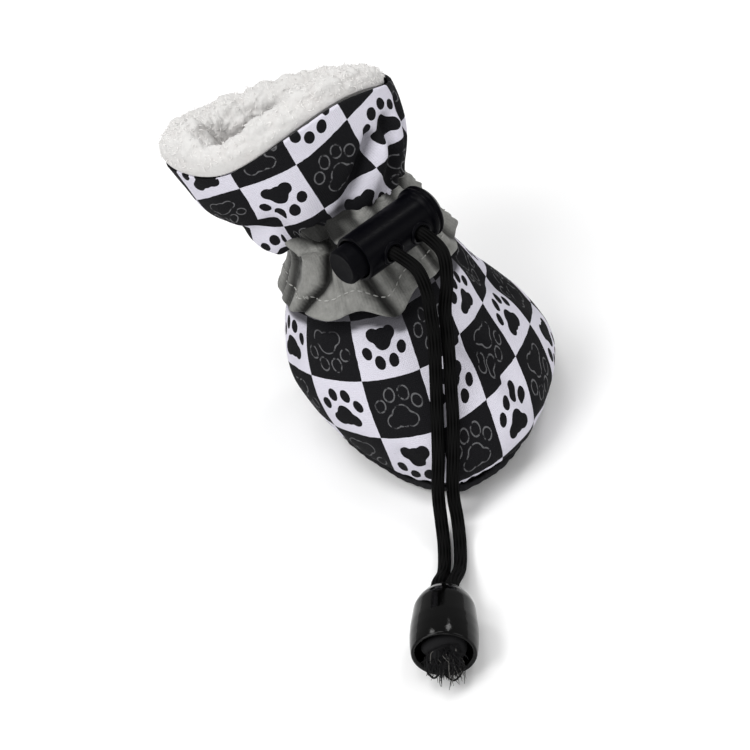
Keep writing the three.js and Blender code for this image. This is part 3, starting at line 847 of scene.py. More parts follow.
def cloth_lift(s, angle, points):
    lift = gather_at(s, angle) + gather_at(s, angle, PLEATS) + crease_lift(points)
    calm = 1 - CALM_SHARE * bell_curve(s - CALM_PLACE, 0.9)
    soft = SOFT_WAVE * noise_field(points, 13) + FINE_WAVE * noise_field(points, 4.5, 7.0)
    seam = near_angle(angle, BACK_SEAM, 1.6)
    foot = np.exp(-np.maximum(s, 0) / 0.45)
    round_mm = np.radians(angle) * PAW_WIDTH / 2
    pucker = np.cos(2 * np.pi * round_mm / PUCKER_PITCH + 2.5 * noise_field(points, 9, 3.0))
    return lift + soft * calm - SEAM_DIP * seam + PUCKER_RISE * foot * pucker


def cloth_grid(places):
    return grid_of(places, np.linspace(BACK_SEAM - 360, BACK_SEAM, CLOTH_COLUMNS + 1))


def run_lengths(points):
    """Millimetres round each row from the toe's meridian, and down each column from the first row."""
    toe = np.argmin(np.abs(np.linspace(BACK_SEAM - 360, BACK_SEAM, points.shape[1]) + 90))
    across = lengths_along(points, 1)
    return across - across[:, toe:toe + 1], lengths_along(points)


def body_uv(s, angle):
    across, down = run_lengths(smooth_point(s, angle))
    down = down[-1] - down
    c = BODY_CHECK
    bow = 1 - bell_curve(across, c["bow_width"])
    pitch = c["pitch"] * (1 + c["gather"] * np.exp(-down / c["fade"]))
    side = c["side"] * np.clip(across, 0, SIDE_REACH)
    u = c["first"][0] + c["lean"] * down + across * pitch + c["bow"][0] * bow
    v = c["first"][1] + c["down"] * down + side + c["bow"][1] * bow
    low, high = TUCK_PLACES
    line = low + (high - low) * np.clip((5.3 - s) / 4, 0, 1)
    tuck = 1 / (1 + np.exp(-(angle - line) * 3)) * bell_curve(s - 3.4, 1.3)
    return np.stack([u, v + TUCK_SHIFT * tuck], -1)


def sag_at(s, angle):
    rise = smooth_step((s - SAG_START) / (SAG_PLACE - SAG_START))
    fall = 1 - smooth_step((s - SAG_PLACE) / (SAG_END - SAG_PLACE))
    return rise * fall * near_angle(angle, SAG_ANGLE, SAG_WIDTH)


def collar_uv(s, angle):
    base = smooth_point(s, angle)
    across, up = run_lengths(base)
    sagged = run_lengths(base - sag_at(s, angle)[..., None] * np.array((0, 0, SAG_DOWN)))[1]
    start = np.argmin(np.abs(s[:, 0] - NECK))
    up = up - up[start] - (sagged[-1] - sagged - up[-1] + up)
    c = COLLAR_CHECK
    bow = c["bow"] * (1 - bell_curve(across, c["bow_width"]))
    turned_under = UNDER_SHIFT * near_angle(angle, UNDER_ANGLE, 18)
    turned_under = turned_under * smooth_step((9.5 - s) / 0.8)
    lapped = smooth_step((LAP_REACH[1] - angle) / 12) * smooth_step((angle - LAP_REACH[0]) / 12)
    lapped = LAP_SHIFT * lapped * smooth_step((8.76 - s) / 0.14)
    return np.stack([c["first"][0] + c["pitch"] * across - c["lean"] * up - lapped,
                     c["first"][1] + c["slope"] * across - c["up"] * up + bow + turned_under], -1)


def casing_foot(angle):
    foot = CASING_FOOT + CASING_SLANT * np.cos(np.radians(angle))
    foot = foot + CASING_SCALLOP * np.cos(np.radians(angle * len(GATHERS)))
    foot = foot + 0.03 * np.cos(np.radians(angle * 7 + 40))
    return foot - 0.17 * near_angle(angle, -90, 12)


def cloth_shade(s, angle, points):
    """1 in the light, and less in deep folds, under the casing's hem and over its top."""
    fold = 0.45 * np.clip(-crease_lift(points) / 2.5, 0, 1)
    hem = np.where(s < NECK, 0.85 * bell_curve(np.maximum(0, casing_foot(angle) - 0.26 - s), 0.06), 0)
    over = 0.9 * (1 - smooth_step((s - 7.9) / 0.4)) * near_angle(angle, -86, 26)
    return np.clip(1 - fold, 0, 1) * (1 - hem) * (1 - np.where(s > NECK, over, 0))


print_cloth = make_print_cloth()


def finish_piece(piece, material, node, body="shoe"):
    piece.data.materials.append(material)
    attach(piece, body)
    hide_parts(node)


def make_body():
    s, angle = cloth_grid(np.linspace(0, NECK, BODY_ROWS + 1))
    base = smooth_point(s, angle)
    points = base + outward_at(s, angle) * cloth_lift(s, angle, base)[..., None]
    shade = cloth_shade(s, angle, base)
    piece = grid_object("upper_body", points[:, :-1], body_uv(s, angle), tone=shade[:, :-1])
    finish_piece(piece, print_cloth, "upper")


def make_collar():
    """Collar cloth, whose edge turns in over the rim."""
    places = np.linspace(NECK - 0.4, LAST, COLLAR_ROWS + 1)
    s, angle = cloth_grid(places)
    base = smooth_point(s, angle)
    out = outward_at(s, angle)
    points = base + out * cloth_lift(s, angle, base)[..., None]
    sag = sag_at(s, angle)
    points = points + sag[..., None] * (out * SAG_OUT - np.array((0, 0, SAG_DOWN)))
    up = unit(points[-1] - points[-2])
    rim = []
    for turn in np.linspace(0, np.pi, RIM_ROWS + 1)[1:]:
        inward = -out[-1] * CLOTH_EDGE * (1 - math.cos(turn))
        rim.append(points[-1] + inward + up * CLOTH_EDGE * math.sin(turn))
    for depth in (1.0, 2.0, 3.0):
        rim.append(points[-1] - out[-1] * 2 * CLOTH_EDGE - up * depth)
    shade = cloth_shade(s, angle, base)
    shade = np.concatenate([shade, *[shade[-1:]] * len(rim)])
    uv = collar_uv(s, angle)
    step = (uv[-1] - uv[-2]) / np.linalg.norm(places[1] - places[0]) * 0.02
    rim_uv = [uv[-1] + step * k for k in range(1, len(rim) + 1)]
    piece = grid_object("upper_collar", np.concatenate([points, rim])[:, :-1],
                        np.concatenate([uv, rim_uv]), tone=shade[:, :-1])
    finish_piece(piece, print_cloth, "upper")


def make_lining():
    s, angle = grid_of(np.linspace(*LINING_REACH, LINING_ROWS), angles_round(LINING_COLUMNS))
    base = smooth_point(s, angle)
    pile = clump_field(base, 2.6)
    dent = np.minimum(0, crease_lift(base))
    points = base + outward_at(s, angle) * (dent - UPPER_WALL - 0.5 * pile)[..., None]
    # Painted light: the lining's colour is lighter than the roll's, most on its clumps, with painted shade
    # between them.
    piece = grid_object("upper_lining", points, flip=True, tone=0.75 + 0.25 * pile)
    finish_piece(piece, fleece, "upper")


fleece = make_fleece()
make_body()
make_collar()
make_lining()

# Casing: gathered grey strip whose folds run from the channel down to a scalloped hem. Each fold
# has its angle at the top and at the hem, its width in degrees and its depth.
CASING_ROWS = 44
CASING_COLUMNS = 540
CASING_ROUND = 86
CASING_HIGH = 15
HEM_TURN = 0.7

# How far the casing puffs out, with its cord channel and its flare at the hem
CASING_PUFF = 1.5
CHANNEL_RISE = 0.9
CHANNEL_PLACE = 0.68
CHANNEL_WIDTH = 0.22
HEM_FLARE = 0.9
HEM_REACH = 0.16
FOLDS = (
    (-140, -163, 7, 1.1), (-123, -117, 2.4, -0.8), (-128, -90, 6, 1.9), (-84, -78, 5, 1.0),
    (-62, -66, 6, 1.5), (-40, -46, 6, 1.6), (-18, -12, 7, 1.4), (4, 10, 5, 1.4),
    (28, 24, 7, 1.1), (50, 56, 6, 1.4), (74, 70, 6, 1.2), (95, 101, 7, 1.4),
    (118, 113, 5, 1.1), (138, 144, 7, 1.4), (160, 158, 5, 1.2), (-175, -178, 6, 1.1),
    (-157, -168, 5, 1.0),
)
STITCH_RISE = 3.6
STITCH_LENGTH = 1.05
STITCH_GAP = 0.6
STITCH_RADIUS = 0.13

# The left panel laps over the front one along a line: share of the height, and angle
PANEL_LINE = ((0, -151), (0.1, -143), (0.22, -128), (0.4, -122), (0.8, -108), (1, -104))
PANEL_DEPTH = 2.2
PANEL_WIDTH = 4.5
PANEL_RISE = 1.3


def casing_grid():
    share, angle = grid_of(np.linspace(0, 1, CASING_ROWS + 1), angles_round(CASING_COLUMNS))
    foot = casing_foot(angle)
    return share, angle, foot + (CASING_TOP - foot) * share


def casing_point(share, angle, s):
    base = smooth_point(s, angle)
    gather = gather_at(s, angle)
    channel = CHANNEL_RISE * bell_curve(share - CHANNEL_PLACE, CHANNEL_WIDTH)
    flare = HEM_FLARE * np.exp(-share / HEM_REACH)
    edge = 1 - 0.75 * bell_curve(share - 1, 0.07)
    puff = (CASING_PUFF + channel + flare) * edge * (1 - 0.35 * near_angle(angle, -176, 25))
    panel = np.interp(share, *zip(*PANEL_LINE))
    beyond = (panel - angle + 180) % 360 - 180
    fold = PANEL_DEPTH * np.exp(-np.abs(beyond + 1) / PANEL_WIDTH)
    fold = fold - PANEL_RISE * smooth_step(beyond / 5) * bell_curve(beyond, 26) * (1 - 0.5 * share)
    # dark is a mask of painted shade: along the left panel's lap, in each fold's valley, and over the
    # casing's top by the lock.
    dark = bell_curve(beyond + 1, PANEL_WIDTH)
    for top, hem, width, depth in FOLDS:
        line = hem + (top - hem) * share
        pinch = np.abs(turn_between(angle, line)) / width
        fold = fold + depth * np.exp(-(pinch**1.2)) * (0.55 + 0.45 * bell_curve(share - 0.5, 0.5))
        fold = fold - 0.35 * depth * bell_curve(pinch - 1.7, 0.7)
        dark = dark + 0.45 * depth * bell_curve(pinch, 1.0)
    dark = dark + 1.4 * smooth_step((share - 0.6) / 0.2) * near_angle(angle, -105, 17)
    rumple = 0.5 * noise_field(base, 4.2, 2.0) + 0.22 * noise_field(base, 1.7, 5.0)
    high = gather + puff - fold + rumple
    lift = SEAM_GAP + np.maximum(0.05, high)
    # Painted shade: lower where the surface sinks and where dark is high; the cloth's colour darkens with
    # it.
    tone = np.clip((high - 0.2) / 1.8, 0, 1) * (1 - 0.92 * np.clip(dark, 0, 1))
    return base + outward_at(s, angle) * lift[..., None], tone


def make_casing():
    share, angle, s = casing_grid()
    points, tone = casing_point(share, angle, s)
    inward = outward_at(s[:1], angle[:1])
    hem = [points[:1] - inward * HEM_TURN * k for k in (1.0, 0.8, 0.35)]
    hem[2] = hem[2] - unit(points[1:2] - points[:1]) * 0.25
    hem[0] = hem[0] + unit(points[1:2] - points[:1]) * 1.2
    top = outward_at(s[-1:], angle[-1:])
    tuck = [points[-1:] - top * k for k in (0.5, 1.1)]
    points = np.concatenate([*hem, points, *tuck])
    tone = np.concatenate([*[tone[:1]] * len(hem), tone, *[tone[-1:]] * len(tuck)])
    across = np.linspace(0, CASING_ROUND, CASING_COLUMNS + 1)
    v, u = grid_of(np.linspace(0, CASING_HIGH, len(points)), across)
    piece = grid_object("casing_gathers", points, np.stack([u, v], -1), tone=tone)
    finish_piece(piece, make_casing_cloth(), "casing")


def make_casing_stitches():
    share, angle, s = casing_grid()
    points, _ = casing_point(share, angle, s)
    row = np.argmax(lengths_along(points) > STITCH_RISE, axis=0)
    line = points[row, np.arange(points.shape[1])]
    line = line + outward_at(s, angle)[row, np.arange(points.shape[1])] * 0.08
    run = lengths_along(line)
    parts = []
    start = 0.0
    while start + STITCH_LENGTH < run[-1]:
        at = np.linspace(start, start + STITCH_LENGTH, 6)
        path = np.stack([np.interp(at, run, line[:, k]) for k in range(3)], -1)
        parts.append(tube(path, STITCH_RADIUS * np.array([0.4, 0.9, 1, 1, 0.9, 0.4]), 6))
        start += STITCH_LENGTH + STITCH_GAP
    piece = joined("casing_stitches", parts)
    finish_piece(piece, make_thread("stitch_thread", (0.45, 0.45, 0.43)), "casing")


make_casing()
make_casing_stitches()

# Fleece: the part's roll with finer clumps, and loose fibres that curl out of it
FLEECE_PROFILE = np.array([
    (-1, 0, 0), (-0.5, 0, 0), (0.09, 0, 0), (0.09, 0.24, 0), (0.5, 0.3, 0.5), (0.9, 0.08, 1),
    (1, -0.25, 1), (0.75, -0.7, 1), (0.1, -0.98, 1), (-0.6, -0.85, 1),
])

# How far the roll leans over the rim, and where it leans further, is thicker and stands taller: the
# angle, the width in degrees and the share that is added
ROLL_OVER = 0.35
OVER_BULGES = ((-165, 75, 0.65), (-124, 20, 0.4))
THICK_BULGES = ((-134, 40, 0.38), (177, 24, -0.45))
TALL_BULGES = ((20, 75, -0.35), (-138, 38, 0.45))
PROFILE_STEPS = 11
FLEECE_COLUMNS = 620
CLUMP_RISE = 1.8
FIBRE_COUNT = 3400


def rotated(v, axis, degrees):
    return np.array(Matrix.Rotation(math.radians(degrees), 3, Vector(axis)) @ Vector(v))


def rim_up():
    up = rotated((0, 0, 1), (0, 1, 0), -SECTIONS[LAST, COLUMNS.index("roll")])
    return rotated(up, (1, 0, 0), -SECTIONS[LAST, COLUMNS.index("pitch")])


def fleece_surface():
    rows = []
    closed = np.concatenate([FLEECE_PROFILE[-1:], FLEECE_PROFILE, FLEECE_PROFILE[:2]])
    for p0, p1, p2, p3 in zip(closed, closed[1:], closed[2:], closed[3:]):
        f = np.linspace(0, 1, PROFILE_STEPS, endpoint=False)[:, None]
        rows.append(spline(p0, p1, p2, p3, f))
    profile = np.concatenate(rows)
    rise, out, pile = (profile[:, k][:, None] for k in range(3))
    angle = angles_round(FLEECE_COLUMNS)[None, :]
    out = out * np.where(out > 0, bulges_at(angle, ROLL_OVER, OVER_BULGES),
                         bulges_at(angle, 1, THICK_BULGES))
    rise = np.where(rise > 0.1, rise * bulges_at(angle, 1, TALL_BULGES), rise)
    section_rise = (SECTIONS[LAST, 0] - SECTIONS[LAST - 2, 0]) * RIM_HEIGHT
    place = LAST + np.minimum(0, rise) * FLEECE_DEPTH * 2 / section_rise
    place, angle = np.broadcast_arrays(place, angle)
    inward = -UPPER_WALL - SEAM_GAP + out * FLEECE_THICKNESS
    base = smooth_point(place, angle)
    inward = inward + np.minimum(0, crease_lift(base))
    base = base + outward_at(place, angle) * inward[..., None]
    base = base + rim_up() * (np.maximum(0, rise) * FLEECE_RISE)[..., None]
    across = np.roll(base, -1, 1) - np.roll(base, 1, 1)
    along = np.roll(base, -1, 0) - np.roll(base, 1, 0)
    normal = unit(np.cross(across, along))
    # deep marks the roll's inner hollow, whose colour is painted lighter.
    deep = np.clip((0.45 - rise) / 1.1, 0, 1) * np.where(out < -0.5, 1, 0)
    pile, deep = (np.broadcast_to(a, place.shape) for a in (np.clip(pile, 0, 1), deep))
    return base, normal, pile, deep


def make_fleece_pile():
    base, normal, pile, deep = fleece_surface()
    shift = np.stack([noise_field(base, 3, k) for k in (1.0, 5.0, 8.0)], -1)
    big = clump_field(base + 0.9 * shift, 4.6)
    small = clump_field(base + 0.4 * shift, 1.9, 9.0)
    fine = noise_field(base, 0.7, 4.0)
    lift = pile * (CLUMP_RISE * (1.15 * big + 0.5 * small - 0.85) + 0.18 * fine)
    points = base + normal * lift[..., None]
    # Painted shade between the clumps, and painted light in the hollow.
    tone = np.clip(0.1 + 0.5 * big + 0.4 * small, 0, 0.72) * (1 - deep) + deep
    piece = grid_object("fleece_roll", points, close_rows=True, tone=tone)
    finish_piece(piece, fleece, "fleece_collar")
    return points, normal, pile


def make_fibres(points, normal, pile):
    rng = np.random.default_rng(5)
    spots = np.argwhere(pile > 0.35)
    parts = []
    for i, k in spots[rng.choice(len(spots), FIBRE_COUNT, replace=False)]:
        start, out = points[i, k], normal[i, k]
        lean = unit(rng.normal(size=3)) * rng.uniform(0.6, 1.3)
        curl = unit(np.cross(out, rng.normal(size=3)))
        length = rng.uniform(0.35, 0.85)
        f = np.linspace(0, 1, 5)[:, None]
        path = start - out * 0.3 + (out + lean) * length * f * (1 - 0.4 * f) + curl * length * 0.9 * f**2
        parts.append(tube(path, 0.1 * np.array([1.2, 1, 0.9, 0.7, 0.35]), 5))
    piece = joined("fleece_fibres", parts)
    finish_piece(piece, make_curl(), "fleece_collar")


make_fibres(*make_fleece_pile())

# Sole: footbed, ribbed sheet with rubber dots, and the puckered edge
RIB_PITCH = 1.05
DISC_MIDDLE = 0.002
DISC_ROWS = 70
DISC_COLUMNS = 300
DOT_ROWS = 6
DOT_SIDES = 16
EDGE_COLUMNS = 600
EDGE_RADIUS = 0.74
EDGE_PITCH = 2.7


def outline_point(angle, share, margin):
    foot = smooth_point(0, angle)[..., :2]
    return (foot + unit(foot) * margin) * np.asarray(share)[..., None]


def sole_disc(margin):
    share, angle = grid_of(np.linspace(DISC_MIDDLE, 1, DISC_ROWS), angles_round(DISC_COLUMNS))
    return outline_point(angle, share, margin), share


def make_footbed():
    flat, share = sole_disc(-UPPER_WALL - 0.5)
    base = np.concatenate([flat, np.zeros((*share.shape, 1))], -1)
    pile = clump_field(base, 2.4)
    height = SEAT_HEIGHT + INSOLE_THICKNESS - 0.5 + 0.7 * pile + spring_at(flat[..., 1])
    points = np.concatenate([flat, height[..., None]], -1)
    rim = points[-1:] - (0, 0, INSOLE_THICKNESS)
    # Painted shade between the footbed's clumps, and painted light on their tops.
    piece = grid_object("footbed", np.concatenate([points, rim]), tone=np.concatenate([pile, pile[-1:]]),
                        flip=True)
    finish_piece(piece, fleece, "insole")


def make_sole_sheet():
    flat, share = sole_disc(SOLE_MARGIN - 0.5)
    rib = np.sin((flat[..., 0] + flat[..., 1]) * math.sqrt(0.5) * 2 * math.pi / RIB_PITCH)
    height = STUD_HEIGHT + 0.1 - 0.08 * rib + spring_at(flat[..., 1]) + 0.5 * share**14
    points = np.concatenate([flat, height[..., None]], -1)
    lip = points[-1:] + (0, 0, SOLE_THICKNESS - 0.7)
    piece = grid_object("sole_sheet", np.concatenate([points, lip]))
    finish_piece(piece, make_rib_cloth(), "outsole")


def make_sole_edge():
    """Rolled and puckered seam between the sole and the upper."""
    edge = outline_point(angles_round(EDGE_COLUMNS), np.ones(EDGE_COLUMNS), SOLE_MARGIN - 0.35)
    run = lengths_along(edge)
    pitch = run[-1] / round(run[-1] / EDGE_PITCH)
    out = unit(edge)
    rows = []
    for turn in turns(14):
        uneven = noise_field(np.stack([edge[:, 0], edge[:, 1], 0 * run], -1), 4.5, 6.0)
        radius = EDGE_RADIUS * (1 + 0.1 * np.cos(2 * np.pi * run / pitch + 3 * uneven) + 0.25 * uneven)
        side = radius * 0.75 * math.cos(turn)
        rise = STUD_HEIGHT + SOLE_THICKNESS * 0.62 + radius * 1.05 * math.sin(turn) + spring_at(edge[:, 1])
        rows.append(np.concatenate([edge + out * side[:, None], rise[:, None]], -1))
    points = np.array(rows)
    points = points + unit(points - points.mean(0)) * (0.1 * noise_field(points, 1.3))[..., None]
    piece = grid_object("sole_edge", points, close_rows=True)
    finish_piece(piece, make_edge_cloth(), "outsole")


def stud_places():
    """The part's diagonal grid of studs, kept in from the edge."""
    angles = np.arange(60) * 6.0
    outline = outline_point(angles, np.ones(60), SOLE_MARGIN)
    step = STUD_PITCH / math.sqrt(2)
    reach = math.ceil(SOLE_LENGTH / step)
    places = []
    for i in range(-reach, reach + 1):
        for j in range(-reach, reach + 1):
            place = np.array([(i - j) * step, (i + j) * step])
            a, b = outline, np.roll(outline, -1, 0)
            spans = (a[:, 1] > place[1]) != (b[:, 1] > place[1])
            rise = np.where(spans, b[:, 1] - a[:, 1], 1)
            cross = a[:, 0] + (place[1] - a[:, 1]) * (b[:, 0] - a[:, 0]) / rise
            inside = np.sum(spans & (place[0] < cross)) % 2 == 1
            if inside and np.linalg.norm(outline - place, axis=1).min() > STUD_EDGE:
                places.append(place)
    return places


def make_sole_dots():
    parts = []
    turn = turns(DOT_SIDES)
    for place in stud_places():
        base = STUD_HEIGHT + 0.25 + spring_at(place[1])
        rings = []
        for rise in np.linspace(0, 1, DOT_ROWS + 1)[:-1]:
            radius = STUD_RADIUS * math.cos(rise * math.pi / 2) ** 0.7
            low = base - (STUD_HEIGHT + 0.25) * math.sin(rise * math.pi / 2)
            rings.append(np.stack([place[0] + radius * np.cos(turn), place[1] + radius * np.sin(turn),
                                   np.full(DOT_SIDES, low)], -1))
        rings = np.concatenate(rings)
        faces = [face[:1] + face[:0:-1] for face in ring_faces(DOT_ROWS, DOT_SIDES)]
        faces.append(tuple((DOT_ROWS - 1) * DOT_SIDES + k for k in range(DOT_SIDES))[::-1])
        parts.append((rings, faces))
    rubber = make_plastic("dot_rubber", (0.008, 0.008, 0.009), 0.25)
    finish_piece(joined("sole_dots", parts), rubber, "outsole")


make_footbed()
make_sole_sheet()
make_sole_edge()
make_sole_dots()

# Cord lock, in its own frame: Y runs along the barrel to the far end, and Z out of the cord holes
LOCK_SIDE = Vector((-0.08518, -0.06059, -0.99452))
LOCK_AXIS = Vector((0.81043, 0.57644, -0.10453))
LOCK_OUT = Vector((0.57961, -0.81489, 0))
LOCK_ORIGIN = Vector((0.34515, -5.70409, 51.52187))
BARREL_FOOT = -LOCK_LENGTH / 2 + BUTTON_OUT / 2
BARREL_TOP = BARREL_FOOT + LOCK_LENGTH
HOLE_RADIUS = CORD_DIAMETER / 2 + CORD_CLEARANCE
PLUNGER_TOP = BARREL_TOP - LOCK_END_WALL - BUTTON_TRAVEL - BUTTON_CLEARANCE
FAR_HOLE = PLUNGER_TOP - HOLE_WEB - HOLE_RADIUS
NEAR_HOLE = FAR_HOLE - HOLE_SPACING
TURN_SIDES = 96
HOLE_SIDES = 40
CUTTER_REACH = 9.0
RING_RADIUS = 0.38
RING_REACH = 0.42


def basis(x, y, z, origin):
    made = Matrix((x, y, z)).transposed().to_4x4()
    made.translation = origin
    return made


lock_frame = basis(LOCK_SIDE, LOCK_AXIS, LOCK_OUT, LOCK_ORIGIN)


def cut(piece, cutters):
    """Cuts the other objects out of the piece and deletes them."""
    for cutter in cutters:
        modifier = piece.modifiers.new("cut", "BOOLEAN")
        modifier.operation = "DIFFERENCE"
        modifier.solver = "EXACT"
        modifier.object = cutter
    graph = bpy.context.evaluated_depsgraph_get()
    mesh = bpy.data.meshes.new_from_object(piece.evaluated_get(graph))
    piece.modifiers.clear()
    piece.data = mesh
    for cutter in cutters:
        bpy.data.objects.remove(cutter)
    mesh.set_sharp_from_angle(angle=math.radians(34))


def turned_points(profile):
    """Rings of a lathe about Y, from pairs of a radius and a height."""
    profile, turn = np.asarray(profile, float), turns(TURN_SIDES)
    return np.stack([
        profile[:, :1] * np.sin(turn), np.broadcast_to(profile[:, 1:], (len(profile), TURN_SIDES)),
        profile[:, :1] * np.cos(turn)], -1)


def closed_turned(name, profile, matrix):
    """Closed lathe whose profile starts and ends on the axis."""
    points = turned_points(profile[1:-1]).reshape(-1, 3)
    count, sides = len(profile) - 2, TURN_SIDES
    faces = ring_faces(count, sides)
    ends = np.array([(0, profile[0][1], 0), (0, profile[-1][1], 0)])
    first, last = count * sides, count * sides + 1
    faces += [(first, (k + 1) % sides, k) for k in range(sides)]
    faces += [(last, (count - 1) * sides + k, (count - 1) * sides + (k + 1) % sides) for k in range(sides)]
    return new_object(name, placed(np.concatenate([points, ends]), matrix), faces)


def hole_cutter(place, wide, long):
    """Stadium-shaped bar through the lock."""
    turn = turns(HOLE_SIDES)
    x = wide * np.cos(turn)
    y = place + wide * np.sin(turn) + np.sign(np.sin(turn)) * (long - wide)
    ends = [np.stack([x, y, np.full(HOLE_SIDES, z)], -1) for z in (-CUTTER_REACH, CUTTER_REACH)]
    faces = ring_faces(2, HOLE_SIDES)
    faces += [tuple(range(HOLE_SIDES))[::-1], tuple(range(HOLE_SIDES, 2 * HOLE_SIDES))]
    return new_object("cutter", placed(np.concatenate(ends), lock_frame), faces)


def hole_ring(place, front):
    """Raised oval rim round a cord hole, bent over the barrel."""
    turn = turns(48)
    rows = []
    for small in turns(12):
        radius = HOLE_RADIUS + RING_REACH + RING_RADIUS * math.cos(small)
        x, y = radius * np.cos(turn), place + radius * 1.06 * np.sin(turn)
        z = np.sqrt(LOCK_RADIUS**2 - np.minimum(x, 4.4) ** 2) + 0.05 + RING_RADIUS * math.sin(small)
        rows.append(np.stack([x, y, front * z], -1))
    rows = np.array(rows)
    count, cols = rows.shape[:2]
    faces = ring_faces(count, cols, closed=True)
    if front > 0:
        faces = [face[::-1] for face in faces]
    return placed(rows.reshape(-1, 3), lock_frame), faces


def make_lock():
    shoulder = BARREL_TOP - LOCK_FLANGE_LENGTH
    bore_top = BARREL_TOP - LOCK_END_WALL
    profile = rounded([
        (BORE_RADIUS + 0.02, bore_top), (BORE_RADIUS + 0.02, BARREL_FOOT),
        (LOCK_RADIUS, BARREL_FOOT), (LOCK_RADIUS, shoulder - 0.4),
        (LOCK_FLANGE_RADIUS, shoulder + 0.3), (LOCK_FLANGE_RADIUS, shoulder + 1.1),
        (LOCK_FLANGE_RADIUS - 0.3, shoulder + 1.3), (LOCK_FLANGE_RADIUS - 0.3, shoulder + 1.6),
        (LOCK_FLANGE_RADIUS, shoulder + 1.8), (LOCK_FLANGE_RADIUS, BARREL_TOP - 1.2),
        (LOCK_FLANGE_RADIUS - 1.2, BARREL_TOP - 0.1), (1.6, BARREL_TOP), (0.3, BARREL_TOP),
    ], 0.4)
    profile = [(0, bore_top), *profile, (0, BARREL_TOP)]
    barrel = closed_turned("lock_shell", profile, lock_frame)
    cut(barrel, [hole_cutter(at, HOLE_RADIUS, HOLE_RADIUS) for at in (NEAR_HOLE, FAR_HOLE)])
    finish_piece(barrel, plastic, "lock_barrel")
    rings = joined("lock_rims", [hole_ring(at, front) for at in (NEAR_HOLE, FAR_HOLE) for front in (1, -1)])
    finish_piece(rings, plastic, "lock_barrel")


def make_button():
    radius = BORE_RADIUS - BUTTON_CLEARANCE
    foot = BARREL_FOOT - BUTTON_OUT
    profile = rounded([
        (0.3, foot + 0.12), (radius - 0.9, foot + 0.05), (radius - 0.5, foot), (radius, foot + 0.5),
        (radius, PLUNGER_TOP), (0.3, PLUNGER_TOP),
    ], 0.3)
    profile = [(0, foot + 0.12), *profile, (0, PLUNGER_TOP)]
    button = closed_turned("lock_plunger", profile, lock_frame)
    slots = [hole_cutter(at - BUTTON_TRAVEL / 2, HOLE_RADIUS, HOLE_RADIUS + BUTTON_TRAVEL / 2)
             for at in (NEAR_HOLE, FAR_HOLE)]
    cut(button, slots)
    black = make_plastic("button_black", (0.002, 0.002, 0.003), 0.42, gloss=0.03)
    finish_piece(button, black, "lock_button", "button")


plastic = make_plastic("lock_black", (0.001, 0.001, 0.002), 0.28, gloss=0.045)
make_lock()
make_button()

# Bell and knot, in the bell's frame: Y runs from its cord hole to its mouth
BELL_TOP = Vector((-6.4, -59.5, BELL_RADIUS + 0.1))
BELL_HEADING = Vector((-0.2, -1, 0)).normalized()
bell_side = Vector((BELL_HEADING.y, -BELL_HEADING.x, 0))
bell_frame = basis(bell_side, BELL_HEADING, bell_side.cross(BELL_HEADING), BELL_TOP)
BELL_HOLE = (CORD_DIAMETER + CORD_CLEARANCE) / 2 + CORD_DIAMETER / 2 + CORD_CLEARANCE
KNOT_PLACE = 0.62
FRAY_COUNT = 300


def make_bell():
    waist = BELL_RADIUS * 0.94
    profile = rounded([
        (BELL_HOLE, 1.4), (BELL_HOLE, 0.1), (BELL_HOLE + 0.9, -0.2), (BELL_HOLE + 1.3, 0.5),
        (BELL_RADIUS * 0.8, BELL_LENGTH * 0.11), (BELL_RADIUS * 0.9, BELL_LENGTH * 0.22),
        (waist, BELL_LENGTH * 0.38), (BELL_RADIUS * 0.985, BELL_LENGTH * 0.55),
        (BELL_RADIUS, BELL_LENGTH * 0.72), (BELL_RADIUS * 0.985, BELL_LENGTH * 0.88),
        (BELL_RADIUS * 0.95, BELL_LENGTH * 0.98), (BELL_MOUTH_RADIUS, BELL_LENGTH),
        (BELL_RADIUS - BELL_WALL, BELL_LENGTH * 0.97), (BELL_RADIUS - BELL_WALL, BELL_LENGTH * 0.7),
        (waist - BELL_WALL, BELL_LENGTH * 0.38), (BELL_HOLE, BELL_LENGTH * 0.16),
        (BELL_HOLE, 1.4),
    ], 0.6, 5)
    bell = grid_object("bell_cup", placed(turned_points(profile[:-1]), bell_frame), close_rows=True)
    gloss = make_plastic("bell_gloss", (0.001, 0.001, 0.001), 0.05, 0.05, 0.16)
    finish_piece(bell, gloss, "cord_bell")
    return bell


def make_knot():
    """Overhand knot of the two cord ends that fills the bell's mouth, and their cut stubs."""
    middle = BELL_LENGTH * KNOT_PLACE
    turn = np.linspace(0, 2 * np.pi, 90)
    loops = []
    for tilt, lift, size in ((0.5, -1.2, 2.9), (-0.6, 1.4, 3.1), (0.25, 3.4, 3.1), (-0.35, 4.6, 1.7)):
        x = size * np.cos(turn)
        z = size * np.sin(turn) * math.cos(tilt)
        y = middle + lift + size * np.sin(turn) * math.sin(tilt) + 0.5 * np.sin(2 * turn)
        loops.append(placed(np.stack([x, y, z], -1), bell_frame))
    ends = []
    for side in (-1, 1):
        stub = [(side * 1.5, BELL_LENGTH * 0.45, 0), (side * 2.2, BELL_LENGTH * 0.6, side * 1.4),
                (side * 1.3, BELL_LENGTH * 0.82, side * 1.6), (side * 1.2, BELL_LENGTH + 1.1, side * 0.3)]
        ends.append(placed(curve_through(stub, 0.5), bell_frame))
    parts = [tube(path, CORD_DIAMETER / 2, 16) for path in loops + ends]
    knot = joined("knot_loops", parts)
    finish_piece(knot, make_thread("knot_fibre", (0.01, 0.01, 0.011)), "cord_knot")
    return knot, [end[-1] for end in ends]


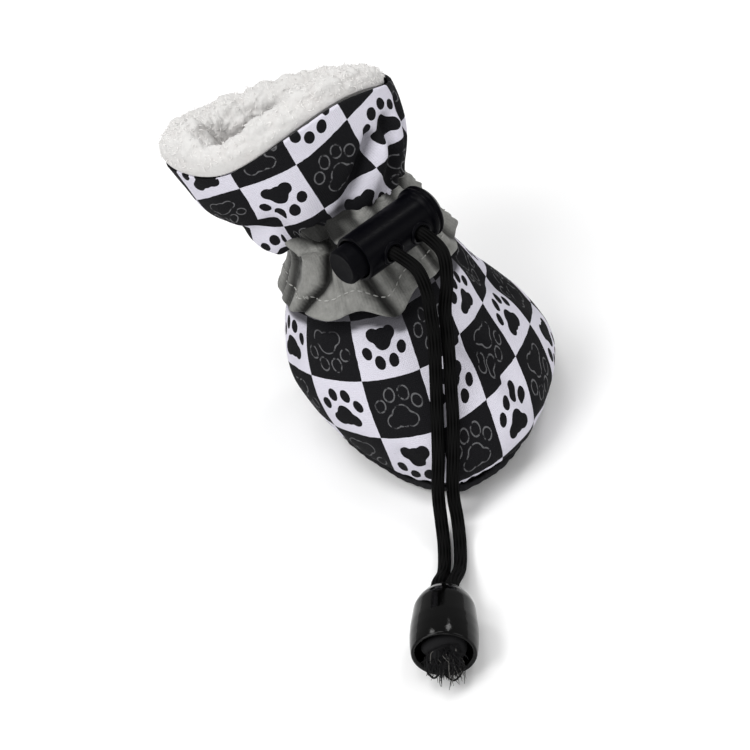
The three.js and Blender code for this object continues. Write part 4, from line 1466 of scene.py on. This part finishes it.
def make_frays(name, tips, color, seed, count):
    rng = np.random.default_rng(seed)
    heading = np.array(BELL_HEADING)
    parts = []
    for _ in range(count):
        start = tips[rng.integers(len(tips))] + rng.normal(size=3) * 0.9 - heading * 0.8
        spread = unit(heading * 1.6 + rng.normal(size=3) * 0.8) * rng.uniform(1.5, 3.6)
        droop = np.array([0, 0, -rng.uniform(0.3, 2.2)]) + rng.normal(size=3) * 0.5
        f = np.linspace(0, 1, 7)[:, None]
        path = start + spread * f + droop * f**2 + rng.normal(size=3) * 0.4 * np.sin(math.pi * f)
        path[:, 2] = np.maximum(path[:, 2], 0.15)
        parts.append(tube(path, 0.08 * np.array([1, 1, 1, 1, 0.9, 0.8, 0.5]), 4))
    frays = joined(name, parts)
    finish_piece(frays, make_thread(name + "_thread", color), "cord_knot")
    return frays


def make_thread_loops(tips):
    """Pulled threads that loop out of the bell's mouth."""
    rng = np.random.default_rng(8)
    heading, side = np.array(BELL_HEADING), np.array(bell_side)
    parts = []
    for across, reach in ((-2.6, 3.4), (-1.2, 4.3), (0.6, 3.0), (2.0, 3.8), (3.0, 2.4)):
        start = tips[0] + side * across - heading * 1.5 + rng.normal(size=3) * 0.4
        end = start + side * rng.uniform(1.6, 3.4) + rng.normal(size=3) * 0.3
        low = np.array((0, 0, -rng.uniform(1.5, 3.2)))
        route = [start, start + heading * reach * 0.7 + low * 0.5, (start + end) / 2 + heading * reach + low,
                 end + heading * reach * 0.6 + low * 0.4, end]
        path = curve_through(route, 0.35)
        path[:, 2] = np.maximum(path[:, 2], 0.25)
        parts.append(tube(path, 0.2, 6))
    threads = joined("knot_threads", parts)
    finish_piece(threads, make_thread("knot_loop", (0.006, 0.006, 0.006)), "cord_knot")
    return threads


bell = make_bell()
knot, tips = make_knot()
threads = make_thread_loops(tips)
dark_frays = make_frays("knot_frays", tips, (0.012, 0.012, 0.013), 3, FRAY_COUNT)
core_frays = make_frays("knot_core", tips, (0.16, 0.155, 0.145), 4, FRAY_COUNT // 14)
